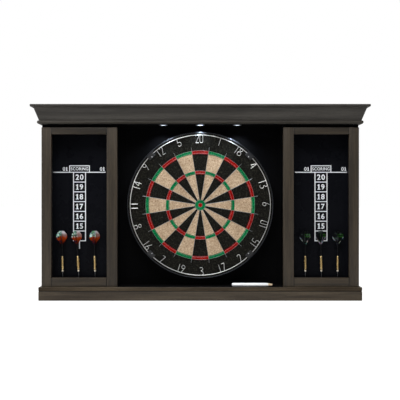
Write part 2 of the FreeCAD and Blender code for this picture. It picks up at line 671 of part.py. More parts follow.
def dart_flight():
    """Cross of two thin kite-shaped plates."""
    z0, z1 = FLIGHT_START, FLIGHT_START + FLIGHT_TALL
    outline = [(1.0, z0), (5.0, z0), (FLIGHT_HALF, z0 + 17.0), (FLIGHT_HALF, z0 + 31.0), (9.0, z1)]
    full = outline + [(-u, v) for u, v in reversed(outline)]
    plate = prism([Vector(u, -FLIGHT_THICK / 2, v) for u, v in full], Vector(0, FLIGHT_THICK, 0))
    other = plate.copy()
    other.rotate(Vector(0, 0, 0), Vector(0, 0, 1), 90)
    return plate.fuse(other).removeSplitter()


def build_darts():
    """Six darts standing point down in the ledges, each leaning a little its own way."""
    places = [sign * DART_CENTRE + step * DART_PITCH for sign in (-1, 1) for step in (-1, 0, 1)]
    point = turned([(0, 0), (POINT_R, 5.0), (POINT_R, POINT_LONG), (0, POINT_LONG)])
    barrel, flight = dart_barrel(), dart_flight()
    stem_low = POINT_LONG + BARREL_LONG
    stem = turned([(0, stem_low), (STEM_R, stem_low), (STEM_R - 0.3, FLIGHT_START + PRONG_LONG),
                   (0, FLIGHT_START + PRONG_LONG)]).cut(flight)
    for index, (x, lean, turn) in enumerate(zip(places, DART_LEANS, DART_TURNS), start=1):
        pivot = Vector(x, DART_Y, DART_TIP_Z)
        for node, solids in (("dart_%d_barrel" % index, [point, barrel]),
                             ("dart_%d_flight" % index, stem.Solids + [flight])):
            placed = []
            for solid in solids:
                copy = solid.copy()
                copy.rotate(Vector(0, 0, 0), Vector(0, 0, 1), turn)
                copy.rotate(Vector(0, 0, 0), Vector(0, 1, 0), lean)
                copy.translate(pivot)
                placed.append(copy)
            save(node, *placed)


def build_marker():
    """Dry-erase marker lying on the bottom panel, cap to the left."""
    z = INNER_BOTTOM + MARKER_R + 0.3
    left, join, right = MARKER_LEFT, MARKER_JOIN, MARKER_RIGHT

    def along_x(profile):
        shape = turned(profile)
        shape.rotate(Vector(0, 0, 0), Vector(0, 1, 0), 90)
        shape.translate(Vector(0, MARKER_Y, z))
        return shape

    neck = join - 14.0
    body = along_x([(0, neck), (4.4, neck), (4.6, neck + 1), (4.6, join + 0.2), (MARKER_R, join + 0.2),
                    (MARKER_R, right - 10), (3.4, right - 4), (2.8, right), (0, right)])
    cap = along_x([(0, left), (3.6, left), (MARKER_R, left + 5), (MARKER_R, join), (4.65, join),
                   (4.65, left + 8), (0, left + 8)])
    front = MARKER_Y - MARKER_R
    clip = box((left + 4, join - 6), (front - 1.8, front - 0.7), (z - 2.4, z + 2.4))
    root = box((left + 4, left + 9), (front - 0.7, front + 1.0), (z - 2.4, z + 2.4))
    hollow = cylinder_x(4.65, (left + 8, join), MARKER_Y, z)
    save("marker_body", body)
    save("marker_cap", cap.fuse([clip, root]).cut(hollow).removeSplitter())
    save("marker_nib", along_x([(0, neck - 9), (0.9, neck - 9), (2.2, neck - 6), (2.2, neck), (0, neck)]))


if __name__ == "__main__":
    os.makedirs(PARTS, exist_ok=True)
    build_carcass()
    build_mouldings()
    build_wings()
    build_board()
    build_lights()
    build_darts()
    build_marker()
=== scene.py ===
"""Looks of a wall-hung dart board cabinet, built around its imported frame.

Every piece is made in metres in the frame's own axes: +X right, +Y into the wall, +Z up, with the board's
axis at X = 0, Z = 0.  Flat work on the board and the writing boards is drawn in a local plane (x right, y up,
z towards the viewer) and stood up by FACE_UP.
"""
import json
import logging
import math
from dataclasses import dataclass, replace
from enum import Enum
from functools import cache
from typing import Iterable, Sequence

import bmesh
import bpy
from mathutils import Matrix, Vector


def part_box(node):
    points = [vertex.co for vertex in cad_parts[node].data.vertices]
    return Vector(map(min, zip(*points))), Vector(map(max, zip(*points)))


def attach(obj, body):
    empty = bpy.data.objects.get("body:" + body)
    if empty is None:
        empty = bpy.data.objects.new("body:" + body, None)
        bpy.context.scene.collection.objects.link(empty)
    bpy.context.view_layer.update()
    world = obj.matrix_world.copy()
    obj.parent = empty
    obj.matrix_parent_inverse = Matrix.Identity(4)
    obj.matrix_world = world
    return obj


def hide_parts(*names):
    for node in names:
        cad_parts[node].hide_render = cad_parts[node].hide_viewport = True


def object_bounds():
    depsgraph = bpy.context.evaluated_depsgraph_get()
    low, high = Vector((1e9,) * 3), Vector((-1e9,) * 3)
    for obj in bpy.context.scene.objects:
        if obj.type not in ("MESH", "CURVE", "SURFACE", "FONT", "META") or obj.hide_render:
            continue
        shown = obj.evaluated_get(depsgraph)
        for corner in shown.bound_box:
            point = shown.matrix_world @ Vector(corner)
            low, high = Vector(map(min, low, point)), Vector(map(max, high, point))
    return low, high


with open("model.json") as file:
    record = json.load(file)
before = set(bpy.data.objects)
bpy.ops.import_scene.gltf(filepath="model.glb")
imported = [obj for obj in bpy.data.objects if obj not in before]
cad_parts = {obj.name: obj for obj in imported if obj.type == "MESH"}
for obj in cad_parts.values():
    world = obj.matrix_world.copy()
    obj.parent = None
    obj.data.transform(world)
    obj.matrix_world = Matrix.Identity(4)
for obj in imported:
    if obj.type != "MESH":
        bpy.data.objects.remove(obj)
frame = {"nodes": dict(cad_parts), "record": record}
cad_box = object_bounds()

LOG = logging.getLogger("dart_board_cabinet")
MM = 0.001
FACE_UP = Matrix.Rotation(math.radians(90.0), 4, "X")
SECTORS = 20
WIRE_SIDES = 8
NUMBERS = (20, 1, 18, 4, 13, 6, 10, 15, 2, 17, 3, 19, 7, 16, 8, 11, 14, 9, 12, 5)

Colour = tuple[float, float, float]
Corner = tuple[float, float, float]
Points = list[tuple[float, float]]
Edit = bmesh.types.BMesh
Socket = bpy.types.NodeSocket
Sockets = bpy.types.bpy_prop_collection
Material = bpy.types.Material


class Axis(Enum):
    """Direction that a board's grain runs in."""

    X = 0
    Y = 1
    Z = 2


class Side(Enum):
    """The two wings, by the sign of their X."""

    LEFT = -1
    RIGHT = 1


def tone(red: int, green: int, blue: int) -> Colour:
    """Scene-linear colour from display values.

    Args:
        red: Display red, 0 to 255.
        green: Display green, 0 to 255.
        blue: Display blue, 0 to 255.

    Returns:
        The linear colour, each part 0 to 1.
    """
    def linear(value: float) -> float:
        """Undo the display curve for one part."""
        return value / 12.92 if value <= 0.04045 else ((value + 0.055) / 1.055) ** 2.4

    return linear(red / 255), linear(green / 255), linear(blue / 255)


def scaled(colour: Colour, factor: float) -> Colour:
    """The colour with each part multiplied by the factor, and none over 1."""
    return tuple(min(1.0, factor * part) for part in colour)


BLACK_PAINT = tone(2, 2, 3)
CHIPPED = tone(120, 120, 120)


# ---- node trees ------------------------------------------------------------------------
class Graph:
    """Short way to write one node tree."""

    def __init__(self, tree: bpy.types.NodeTree) -> None:
        """Keep the tree that nodes are added to."""
        self.tree = tree

    def add(self, kind: str, **settings: object) -> bpy.types.Node:
        """Add a node.

        Args:
            kind: Node type without its ShaderNode prefix.
            settings: Properties of the node.

        Returns:
            The new node.
        """
        node = self.tree.nodes.new(kind if kind.startswith("Node") else "ShaderNode" + kind)
        for key, value in settings.items():
            setattr(node, key, value)
        return node

    def feed(self, socket: Socket, value: object) -> None:
        """Link a socket to another, or set its value.

        Args:
            socket: The input socket.
            value: An output socket, a number or a colour.
        """
        if isinstance(value, Socket):
            self.tree.links.new(value, socket)
        elif isinstance(value, tuple) and socket.type == "RGBA":
            socket.default_value = (*value, 1.0)
        else:
            socket.default_value = value

    def fill(self, node: bpy.types.Node, **values: object) -> bpy.types.Node:
        """Feed inputs of a node by name.

        Args:
            node: The node.
            values: Numbers, colours or sockets by input name, with underscores for spaces.

        Returns:
            The same node.
        """
        for name, value in values.items():
            self.feed(node.inputs[name.replace("_", " ")], value)
        return node

    def calculate(self, node: bpy.types.Node, values: Iterable[object]) -> Socket:
        """Feed the inputs of a node in their order, and take its first output."""
        for socket, value in zip(node.inputs, values):
            self.feed(socket, value)
        return node.outputs[0]

    def math(self, operation: str, *values: object, clamp: bool = False) -> Socket:
        """Math node on numbers or sockets, kept between 0 and 1 if clamped."""
        return self.calculate(self.add("Math", operation=operation, use_clamp=clamp), values)

    def times(self, first: object, second: object) -> Socket:
        """Product of two numbers or sockets."""
        return self.math("MULTIPLY", first, second)

    def plus(self, first: object, second: object) -> Socket:
        """Sum of two numbers or sockets."""
        return self.math("ADD", first, second)

    def apart(self, first: object, second: object) -> Socket:
        """Distance between two numbers or sockets."""
        return self.math("ABSOLUTE", self.math("SUBTRACT", first, second))

    def vector(self, operation: str, *values: object) -> Socket:
        """Vector math node on vectors or sockets, whose result is its vector output."""
        return self.calculate(self.add("VectorMath", operation=operation), values)

    def split(self, vector: Socket) -> Sockets:
        """The three parts of a vector."""
        return self.fill(self.add("SeparateXYZ"), Vector=vector).outputs

    def noise(self, vector: object, scale: float, detail: float = 2.0, rough: float = 0.5) -> Socket:
        """Noise around 0.5, with so many cells per unit, octaves, and weight of the fine octaves."""
        return self.fill(self.add("TexNoise"), Vector=vector, Scale=scale, Detail=detail,
                         Roughness=rough).outputs["Fac"]

    def span(self, value: object, low: float, high: float, to_low: float = 0.0,
             to_high: float = 1.0) -> Socket:
        """Smooth clamped remap of a value: low gives to_low, and high gives to_high."""
        return self.fill(self.add("MapRange", interpolation_type="SMOOTHSTEP"), Value=value, From_Min=low,
                         From_Max=high, To_Min=to_low, To_Max=to_high).outputs["Result"]

    def blend(self, amount: object, first: object, second: object, mode: str = "MIX") -> Socket:
        """Mix of two colours.

        Args:
            amount: Share of the second colour.
            first: Colour or socket.
            second: Colour or socket.
            mode: Blend mode.

        Returns:
            The colour socket.
        """
        node = self.add("Mix", data_type="RGBA", blend_type=mode)
        for socket, value in zip((node.inputs[0], *node.inputs[6:8]), (amount, first, second)):
            self.feed(socket, value)
        return node.outputs[2]

    def effect(self, name: str, **values: object) -> Sockets:
        """Place the shared effect of that name with its inputs, and give its outputs."""
        return self.fill(self.add("Group", node_tree=Effect.get(name)), **values).outputs


PLACE_INPUT = {"Vector": (0.0, 0.0, 0.0)}
BOX_INPUTS = {**PLACE_INPUT, "Low": (0.0, 0.0, 0.0), "High": (1.0, 1.0, 1.0)}


class Effect:
    """A shared effect, built once as a shader node group."""

    built: dict[str, bpy.types.NodeTree] = {}

    @classmethod
    def start(cls, name: str, inputs: dict[str, object],
              outputs: Sequence[str]) -> tuple[Graph, dict[str, Socket], bpy.types.Node]:
        """Make an empty group with its sockets.

        Args:
            name: Name of the group.
            inputs: Default of each input; a tuple makes a vector and a number makes a float.
            outputs: Names of the float outputs.

        Returns:
            The graph, the input sockets by name, and the output node.
        """
        tree = bpy.data.node_groups.new(name, "ShaderNodeTree")
        for label, default in inputs.items():
            kind = "NodeSocketVector" if isinstance(default, tuple) else "NodeSocketFloat"
            socket = tree.interface.new_socket(label, in_out="INPUT", socket_type=kind)
            socket.default_value = default
        for label in outputs:
            tree.interface.new_socket(label, in_out="OUTPUT", socket_type="NodeSocketFloat")
        graph = Graph(tree)
        entry, leave = graph.add("NodeGroupInput"), graph.add("NodeGroupOutput")
        cls.built[name] = tree
        return graph, {label: entry.outputs[label] for label in inputs}, leave

    @classmethod
    def get(cls, name: str) -> bpy.types.NodeTree:
        """The group of that name, built at its first use."""
        if name not in cls.built:
            getattr(cls, name)()
        return cls.built[name]

    @classmethod
    def wood_grain(cls) -> None:
        """Slow figure, fine fibre and short dark pores along the vector's X."""
        graph, sockets, leave = cls.start("wood_grain", PLACE_INPUT, ("Figure", "Fibre", "Pores"))
        vector = sockets["Vector"]
        wander = graph.noise(graph.vector("MULTIPLY", vector, (2.5, 9.0, 9.0)), 1.0, 3.0)
        figure = graph.noise(graph.vector("MULTIPLY", vector, (3.0, 70.0, 70.0)), 1.0, 3.0, 0.6)
        figure = graph.plus(graph.times(figure, 0.65), graph.times(wander, 0.35))
        graph.feed(leave.inputs["Figure"], graph.span(figure, 0.34, 0.66))
        fibre = graph.noise(graph.vector("MULTIPLY", vector, (22.0, 900.0, 900.0)), 1.0, 3.0, 0.65)
        graph.feed(leave.inputs["Fibre"], graph.span(fibre, 0.25, 0.75))
        pores = graph.noise(graph.vector("MULTIPLY", vector, (60.0, 1700.0, 1700.0)), 1.0, 1.0)
        graph.feed(leave.inputs["Pores"], graph.span(pores, 0.62, 0.72))

    @staticmethod
    def wall_gaps(graph: Graph, sockets: dict[str, Socket]) -> Sockets:
        """Distances of a point from the nearer wall of a box in X, Y and Z, negative outside it.

        Args:
            graph: The group's graph.
            sockets: Its inputs Vector, Low and High.

        Returns:
            The three distances.
        """
        return graph.split(graph.vector(
            "MINIMUM", graph.vector("SUBTRACT", sockets["Vector"], sockets["Low"]),
            graph.vector("SUBTRACT", sockets["High"], sockets["Vector"])))

    @classmethod
    def edge_rub(cls) -> None:
        """Mask along the twelve edges of a box, broken up by noise."""
        graph, sockets, leave = cls.start("edge_rub", {**BOX_INPUTS, "Width": 0.002}, ("Mask",))
        x, y, z = cls.wall_gaps(graph, sockets)
        middle = graph.math("MAXIMUM", graph.math("MINIMUM", x, y),
                            graph.math("MINIMUM", graph.math("MAXIMUM", x, y), z))
        near = graph.math("SUBTRACT", 1.0, graph.math("DIVIDE", middle, sockets["Width"]), clamp=True)
        patch = graph.span(graph.noise(sockets["Vector"], 45.0, 4.0, 0.7), 0.42, 0.68)
        graph.feed(leave.inputs["Mask"], graph.times(near, patch))

    @classmethod
    def inside_box(cls) -> None:
        """Mask that is 1 inside a box and 0 outside it."""
        graph, sockets, leave = cls.start("inside_box", BOX_INPUTS, ("Mask",))
        x, y, z = cls.wall_gaps(graph, sockets)
        least = graph.math("MINIMUM", graph.math("MINIMUM", x, y), z)
        graph.feed(leave.inputs["Mask"], graph.math("GREATER_THAN", least, 0.0))

    @classmethod
    def fibre_speckle(cls) -> None:
        """Cut fibre ends: pale flecks, dark flecks and their height."""
        graph, sockets, leave = cls.start("fibre_speckle", PLACE_INPUT, ("Pale", "Dark", "Height"))
        fine = graph.noise(sockets["Vector"], 520.0, 3.0, 0.75)
        clump = graph.noise(sockets["Vector"], 190.0, 2.0, 0.6)
        mixed = graph.plus(graph.times(fine, 0.55), graph.times(clump, 0.45))
        graph.feed(leave.inputs["Pale"], graph.span(mixed, 0.5, 0.62))
        graph.feed(leave.inputs["Dark"], graph.span(mixed, 0.5, 0.38))
        graph.feed(leave.inputs["Height"], mixed)

    @classmethod
    def handling(cls) -> None:
        """Broad smudges and fine scratches on a smooth surface."""
        graph, sockets, leave = cls.start("handling", PLACE_INPUT, ("Smudge", "Scratch", "Grit"))
        smudge = graph.noise(sockets["Vector"], 14.0, 5.0, 0.65)
        graph.feed(leave.inputs["Smudge"], graph.span(smudge, 0.38, 0.7))
        slant = graph.fill(graph.add("Mapping"), Vector=sockets["Vector"], Rotation=(0.4, 0.9, 0.3),
                           Scale=(900.0, 30.0, 160.0))
        graph.feed(leave.inputs["Scratch"], graph.span(graph.noise(slant.outputs[0], 1.0, 1.0), 0.66, 0.74))
        graph.feed(leave.inputs["Grit"], graph.noise(sockets["Vector"], 1500.0, 2.0, 0.6))


# ---- finishes --------------------------------------------------------------------------
def new_material(name: str) -> Material:
    """New material of that name, with its nodes in use."""
    material = bpy.data.materials.new(name)
    material.use_nodes = True
    return material


class MaterialGraph(Graph):
    """Node tree of a material around its Principled shader."""

    def __init__(self, material: Material) -> None:
        """Find the material's shader, and add its object coordinates."""
        super().__init__(material.node_tree)
        self.shader = material.node_tree.nodes["Principled BSDF"]
        self.place = self.add("TexCoord").outputs["Object"]

    def wear(self) -> Sockets:
        """Smudges, scratches and grit of a handled surface."""
        return self.effect("handling", Vector=self.place)

    def surface(self, colour: object, rough: object, height: object, depth: float, **values: object) -> None:
        """Feed the shader's colour, roughness and relief, and any other input.

        Args:
            colour: Base colour.
            rough: Roughness.
            height: Height socket of the relief, 0 to 1.
            depth: Depth of the relief in metres.
            values: Other inputs by name, with underscores for spaces.
        """
        bump = self.fill(self.add("Bump"), Distance=depth, Height=height)
        self.fill(self.shader, Base_Color=colour, Roughness=rough, Normal=bump.outputs[0], **values)


@dataclass(frozen=True)
class Finish:
    """Base of every finish: makes a material around one Principled shader."""

    name: str

    def material(self) -> Material:
        """The finished material."""
        material = new_material(self.name)
        self.dress(MaterialGraph(material))
        return material

    def dress(self, graph: MaterialGraph) -> None:
        """Wire the finish's own nodes; each finish has its own.

        Args:
            graph: The material's graph.
        """
        raise NotImplementedError


GRAIN_TURN = {
    Axis.X: (0.0, 0.0, 0.0),
    Axis.Y: (0.0, 0.0, math.radians(-90.0)),
    Axis.Z: (0.0, math.radians(90.0), 0.0),
}


@dataclass(frozen=True)
class StainedWood(Finish):
    """Stained and lacquered open-grain wood with dark lines at joints and painted shadow lines, optionally
    painted black inside a box.
    """

    dark: Colour
    light: Colour
    grain: Axis
    low: Corner
    high: Corner
    shift: float = 0.0
    paint_box: tuple[Corner, Corner] | None = None
    mirrored: bool = False
    seams: tuple[tuple[Axis, float], ...] = ()
    seam_width: float = 2.1 * MM
    gloss: float = 0.3
    coat: float = 0.08

    def dress(self, graph: MaterialGraph) -> None:
        """Grain, pores, rubbed edges, dark joint lines, painted shadow lines and lacquer; see Finish.dress.
        """
        x, y, z = graph.split(graph.place)
        box_place = graph.place
        if self.mirrored:
            join = graph.fill(graph.add("CombineXYZ"), X=graph.math("ABSOLUTE", x), Y=y, Z=z)
            box_place = join.outputs[0]
        turn = graph.fill(graph.add("Mapping"), Vector=graph.place, Rotation=GRAIN_TURN[self.grain],
                          Location=(self.shift, self.shift * 0.7, self.shift * 1.3))
        grain = graph.effect("wood_grain", Vector=turn.outputs[0])
        colour = graph.blend(grain["Figure"], self.dark, self.light)
        fibre = graph.span(grain["Fibre"], 0.0, 1.0, 0.80, 1.16)
        tint = graph.add("CombineColor")
        for socket in tint.inputs:
            graph.feed(socket, fibre)
        colour = graph.blend(1.0, colour, tint.outputs[0], "MULTIPLY")
        colour = graph.blend(graph.times(grain["Pores"], 0.75), colour, scaled(self.dark, 0.35))
        rub = graph.effect("edge_rub", Vector=box_place, Low=self.low, High=self.high, Width=0.0022)
        colour = graph.blend(graph.times(rub["Mask"], 0.4), colour, scaled(self.light, 1.5))
        # Dark lines along the given planes: dark joints at the rail ends, and painted shadow under the slab's
        # overhang along the slab and plinth joint.
        for axis, value in self.seams:
            gap = graph.apart((x, y, z)[axis.value], value)
            line = graph.span(gap, self.seam_width, self.seam_width * 0.4, 0.0, 0.9)
            colour = graph.blend(line, colour, scaled(self.dark, 0.2))
        rough, coat = graph.span(grain["Fibre"], 0.0, 1.0, 0.52, 0.40), self.coat
        if self.paint_box:
            low, high = self.paint_box
            painted = graph.effect("inside_box", Vector=box_place, Low=low, High=high)["Mask"]
            colour = graph.blend(painted, colour, BLACK_PAINT)
            rough = graph.math("MAXIMUM", rough, painted)
            coat = graph.span(painted, 0.0, 1.0, self.coat, 0.0)
        graph.surface(colour, rough, graph.math("SUBTRACT", grain["Fibre"], grain["Pores"]), 0.00008,
                     Specular_IOR_Level=self.gloss, Coat_Weight=coat, Coat_Roughness=0.3)


@dataclass(frozen=True)
class BlackPaint(Finish):
    """Flat black paint with a fine brushed grain, and bare board beyond an optional plane in Y."""

    bare_from_y: float | None = None
    bare: Colour = tone(112, 84, 58)

    def dress(self, graph: MaterialGraph) -> None:
        """Paint, light dust and the unpainted back; see Finish.dress."""
        wear = graph.wear()
        colour = graph.blend(graph.times(wear["Smudge"], 0.12), BLACK_PAINT, tone(16, 16, 18))
        if self.bare_from_y is not None:
            behind = graph.math("GREATER_THAN", graph.split(graph.place)[1], self.bare_from_y)
            fleck = graph.effect("fibre_speckle", Vector=graph.place)
            bare = graph.blend(fleck["Dark"], self.bare, scaled(self.bare, 0.6))
            bare = graph.blend(graph.times(wear["Smudge"], 0.25), bare, scaled(self.bare, 0.75))
            colour = graph.blend(behind, colour, bare)
        graph.surface(colour, graph.span(wear["Smudge"], 0.0, 1.0, 0.62, 0.78), wear["Grit"],
                     0.00006, Specular_IOR_Level=0.05)


@dataclass(frozen=True)
class RawWood(Finish):
    """Sawn softwood with visible growth rings and no stain."""

    light: Colour = tone(196, 163, 118)
    dark: Colour = tone(150, 112, 72)
    grain: Axis = Axis.X

    def dress(self, graph: MaterialGraph) -> None:
        """Growth bands and fibre; see Finish.dress."""
        turn = graph.fill(graph.add("Mapping"), Vector=graph.place, Rotation=GRAIN_TURN[self.grain])
        grain = graph.effect("wood_grain", Vector=turn.outputs[0])
        colour = graph.blend(grain["Figure"], self.light, self.dark)
        colour = graph.blend(graph.times(grain["Fibre"], 0.3), colour, self.light)
        graph.surface(colour, graph.span(grain["Fibre"], 0.0, 1.0, 0.85, 0.7), grain["Fibre"], 0.0002)


@dataclass(frozen=True)
class WritingBoard(Finish):
    """Glossy black dry-erase surface with ghosted smears."""

    def dress(self, graph: MaterialGraph) -> None:
        """Gloss, wiped smears and faint orange peel; see Finish.dress."""
        wear = graph.wear()
        colour = graph.blend(graph.times(wear["Smudge"], 0.4), tone(14, 15, 19), tone(17, 18, 23))
        colour = graph.blend(graph.times(wear["Scratch"], 0.08), colour, tone(40, 42, 48))
        graph.surface(colour, graph.span(wear["Smudge"], 0.0, 1.0, 0.26, 0.34),
                     graph.noise(graph.place, 260.0, 2.0), 0.00003, Specular_IOR_Level=0.04)


@dataclass(frozen=True)
class Ink(Finish):
    """Screen-printed ink, slightly uneven, with rubbed spots."""

    colour: Colour = tone(244, 247, 252)

    def dress(self, graph: MaterialGraph) -> None:
        """Uneven cover and small rubs; see Finish.dress."""
        wear = graph.wear()
        colour = graph.blend(wear["Smudge"], self.colour, scaled(self.colour, 0.84))
        colour = graph.blend(graph.times(wear["Scratch"], 0.3), colour, tone(60, 60, 66))
        graph.surface(colour, graph.span(wear["Grit"], 0.3, 0.7, 0.5, 0.65), wear["Grit"], 0.00003)


@dataclass(frozen=True)
class Sisal(Finish):
    """Dyed sisal seen end on: packed fibre with pale and dark flecks."""

    dye: Colour
    pale: Colour
    shade: Colour

    def dress(self, graph: MaterialGraph) -> None:
        """Flecks, clumps and a rough fibrous relief; see Finish.dress."""
        fleck = graph.effect("fibre_speckle", Vector=graph.place)
        colour = graph.blend(graph.times(fleck["Pale"], 0.75), self.dye, self.pale)
        colour = graph.blend(graph.times(fleck["Dark"], 0.7), colour, self.shade)
        patch = graph.span(graph.noise(graph.place, 28.0, 3.0), 0.35, 0.7, 0.0, 0.3)
        colour = graph.blend(patch, colour, self.shade)
        graph.surface(colour, graph.span(fleck["Height"], 0.3, 0.7, 0.95, 0.75), fleck["Height"],
                     0.0006, Specular_IOR_Level=0.045)


@dataclass(frozen=True)
class Metal(Finish):
    """Bare metal with tarnish and a fine grit."""

    colour: Colour
    tarnish: Colour
    rough: float = 0.3
    relief: float = 0.00002

    def dress(self, graph: MaterialGraph) -> None:
        """Tarnish in patches and a fine grit; see Finish.dress."""
        wear = graph.wear()
        spots = graph.span(graph.noise(graph.place, 300.0, 4.0, 0.7), 0.45, 0.75)
        colour = graph.blend(graph.times(spots, 0.6), self.colour, self.tarnish)
        colour = graph.blend(graph.times(wear["Smudge"], 0.3), colour, self.tarnish)
        uneven = graph.plus(graph.times(spots, 0.2), self.rough)
        graph.surface(colour, uneven, wear["Grit"], self.relief, Metallic=1.0)


@dataclass(frozen=True)
class Enamel(Finish):
    """Painted or powder-coated metal with a soft gloss and chips down to metal."""

    colour: Colour
    rough: float = 0.35
    gloss: float = 0.5

    def dress(self, graph: MaterialGraph) -> None:
        """Coat, dust and chips; see Finish.dress."""
        wear = graph.wear()
        lighter = tuple(min(1.0, 1.8 * part + 0.01) for part in self.colour)
        colour = graph.blend(graph.times(wear["Smudge"], 0.35), self.colour, lighter)
        chips = graph.span(graph.noise(graph.place, 420.0, 3.0, 0.7), 0.72, 0.76)
        colour = graph.blend(graph.times(chips, 0.6), colour, CHIPPED)
        graph.surface(colour, graph.span(wear["Smudge"], 0.0, 1.0, self.rough, self.rough + 0.15),
                     wear["Grit"], 0.00003, Specular_IOR_Level=self.gloss)


@dataclass(frozen=True)
class Plastic(Finish):
    """Moulded plastic or rubber with a fine texture and light handling marks."""

    colour: Colour
    rough: float = 0.4
    texture: float = 0.00005
    gloss: float = 0.5

    def dress(self, graph: MaterialGraph) -> None:
        """Mould texture, marks and uneven gloss; see Finish.dress."""
        wear = graph.wear()
        marked = tuple(0.8 * part + 0.004 for part in self.colour)
        colour = graph.blend(graph.times(wear["Smudge"], 0.6), self.colour, marked)
        uneven = graph.span(wear["Smudge"], 0.0, 1.0, self.rough, min(1.0, self.rough + 0.14))
        graph.surface(colour, uneven, wear["Grit"], self.texture, Specular_IOR_Level=self.gloss)


@dataclass(frozen=True)
class GlowingLens(Finish):
    """Frosted lens lit from behind, brightest over its chip."""

    places: tuple[Corner, ...]
    radius: float
    strength: float

    def dress(self, graph: MaterialGraph) -> None:
        """Glow that falls off from each lens's middle, and frosting; see Finish.dress."""
        nearest = None
        for centre in self.places:
            measure = graph.add("VectorMath", operation="DISTANCE")
            graph.calculate(measure, (graph.place, centre))
            gap = measure.outputs["Value"]
            nearest = gap if nearest is None else graph.math("MINIMUM", nearest, gap)
        core = graph.span(nearest, self.radius, self.radius * 0.2)
        frost = graph.noise(graph.place, 900.0, 2.0)
        middle = graph.math("LESS_THAN", graph.math("ABSOLUTE", graph.split(graph.place)[0]), self.radius * 2)
        rim = graph.blend(middle, tone(96, 108, 128), tone(190, 212, 255))
        colour = graph.blend(core, rim, graph.blend(middle, tone(188, 196, 206), tone(255, 255, 255)))
        graph.surface(graph.blend(frost, tone(215, 222, 235), tone(245, 248, 255)),
                     graph.span(frost, 0.3, 0.7, 0.3, 0.5), frost, 0.00005, Emission_Color=colour,
                     Emission_Strength=self.strength)


class FilmKind(Enum):
    """The two sets of flights."""

    FLAME = "flame"
    NIGHT = "night"


@dataclass(frozen=True)
class FlightFilm(Finish):
    """Foil film of a dart flight, printed in cells over its own UV map."""

    kind: FilmKind
    seed: float

    def dress(self, graph: MaterialGraph) -> None:
        """Foil cells and printed colours; see Finish.dress."""
        mapped = graph.add("UVMap", uv_map="flight").outputs[0]
        across, up, _ = graph.split(mapped)
        shifted = graph.vector("ADD", mapped, (self.seed, self.seed * 1.7, 0.0))
        cells = graph.fill(graph.add("TexVoronoi"), Vector=shifted, Scale=24.0)
        spark = graph.fill(graph.add("HueSaturation"), Color=cells.outputs["Color"],
                           Saturation=1.25).outputs[0]
        drift = graph.noise(shifted, 3.0, 3.0, 0.6)
        rise = graph.plus(up, graph.times(graph.math("SUBTRACT", drift, 0.5), 0.5))
        if self.kind is FilmKind.FLAME:
            colour = graph.blend(graph.span(rise, 0.0, 0.5), tone(52, 1, 0), tone(138, 46, 0))
            left = graph.span(across, 0.62, 0.4)
            teal = graph.blend(graph.span(drift, 0.5, 0.58), tone(0, 112, 66), tone(206, 240, 236))
            top = graph.blend(left, graph.blend(graph.span(rise, 0.7, 0.95), tone(132, 98, 92),
                                                tone(204, 198, 204)), teal)
            upper = graph.span(rise, 0.5, 0.64)
            colour = graph.blend(upper, colour, top)
            colour = graph.blend(graph.times(graph.times(left, upper), 0.25), colour,
                                 spark)
            eye = graph.span(graph.noise(shifted, 6.5, 1.0), 0.54, 0.58)
            colour = graph.blend(graph.times(graph.times(eye, left), 0.9), colour,
                                 tone(10, 14, 40))
        else:
            stripe = graph.apart(up, 0.64)
            band = graph.times(graph.span(stripe, 0.13, 0.1), graph.span(stripe, 0.03, 0.05, 0.1, 1.0))
            band = graph.times(band, graph.span(across, 0.38, 0.52))
            colour = graph.blend(band, tone(8, 10, 12), tone(26, 74, 10))
            reach = graph.times(graph.apart(across, 0.5), 2.0)
            taper = graph.plus(graph.times(up, 1.8), 0.17)
            rim = graph.span(graph.apart(reach, taper), 0.3, 0.1)
            silver = graph.times(rim, graph.span(drift, 0.46, 0.54))
            colour = graph.blend(graph.times(silver, 0.42), colour, tone(140, 148, 156))
            cloud = graph.span(drift, 0.55, 0.66)
            colour = graph.blend(graph.times(cloud, 0.35), colour, tone(96, 112, 108))
            colour = graph.blend(graph.times(silver, 0.3), colour, spark)
        graph.surface(colour, graph.span(drift, 0.3, 0.7, 0.26, 0.42), cells.outputs["Distance"],
                     0.00012, Specular_IOR_Level=0.05)


@dataclass(frozen=True)
class CellJacket(Finish):
    """Printed sleeve of a round cell: dark body, copper end band and bare metal ends."""

    middle: float
    half: float

    def dress(self, graph: MaterialGraph) -> None:
        """Bands by the distance from the middle; see Finish.dress."""
        along = graph.math("SUBTRACT", graph.split(graph.place)[0], self.middle)
        wear = graph.wear()
        colour = graph.blend(graph.times(wear["Smudge"], 0.4), tone(36, 40, 46), tone(52, 57, 64))
        band = graph.math("GREATER_THAN", along, self.half * 0.45)
        colour = graph.blend(band, colour, tone(176, 112, 62))
        end = graph.math("GREATER_THAN", graph.math("ABSOLUTE", along), self.half - 2.0 * MM)
        colour = graph.blend(end, colour, tone(190, 190, 188))
        graph.surface(colour, graph.span(wear["Smudge"], 0.0, 1.0, 0.25, 0.4), wear["Grit"], 0.00002,
                     Metallic=end)


STEEL_WIRE = Metal("bright_wire", tone(158, 160, 163), tone(104, 105, 108), 0.42)
ZINC = Metal("zinc_screw", tone(196, 196, 198), tone(128, 130, 134), 0.32)
BLACK_PLASTIC = Plastic("black_plastic", tone(20, 20, 22), 0.42)


def in_scene(name: str, data: bpy.types.ID) -> bpy.types.Object:
    """Object of some mesh, curve, light or camera, linked to the scene.

    Args:
        name: Its name.
        data: What it shows.

    Returns:
        The object.
    """
    item = bpy.data.objects.new(name, data)
    bpy.context.scene.collection.objects.link(item)
    return item


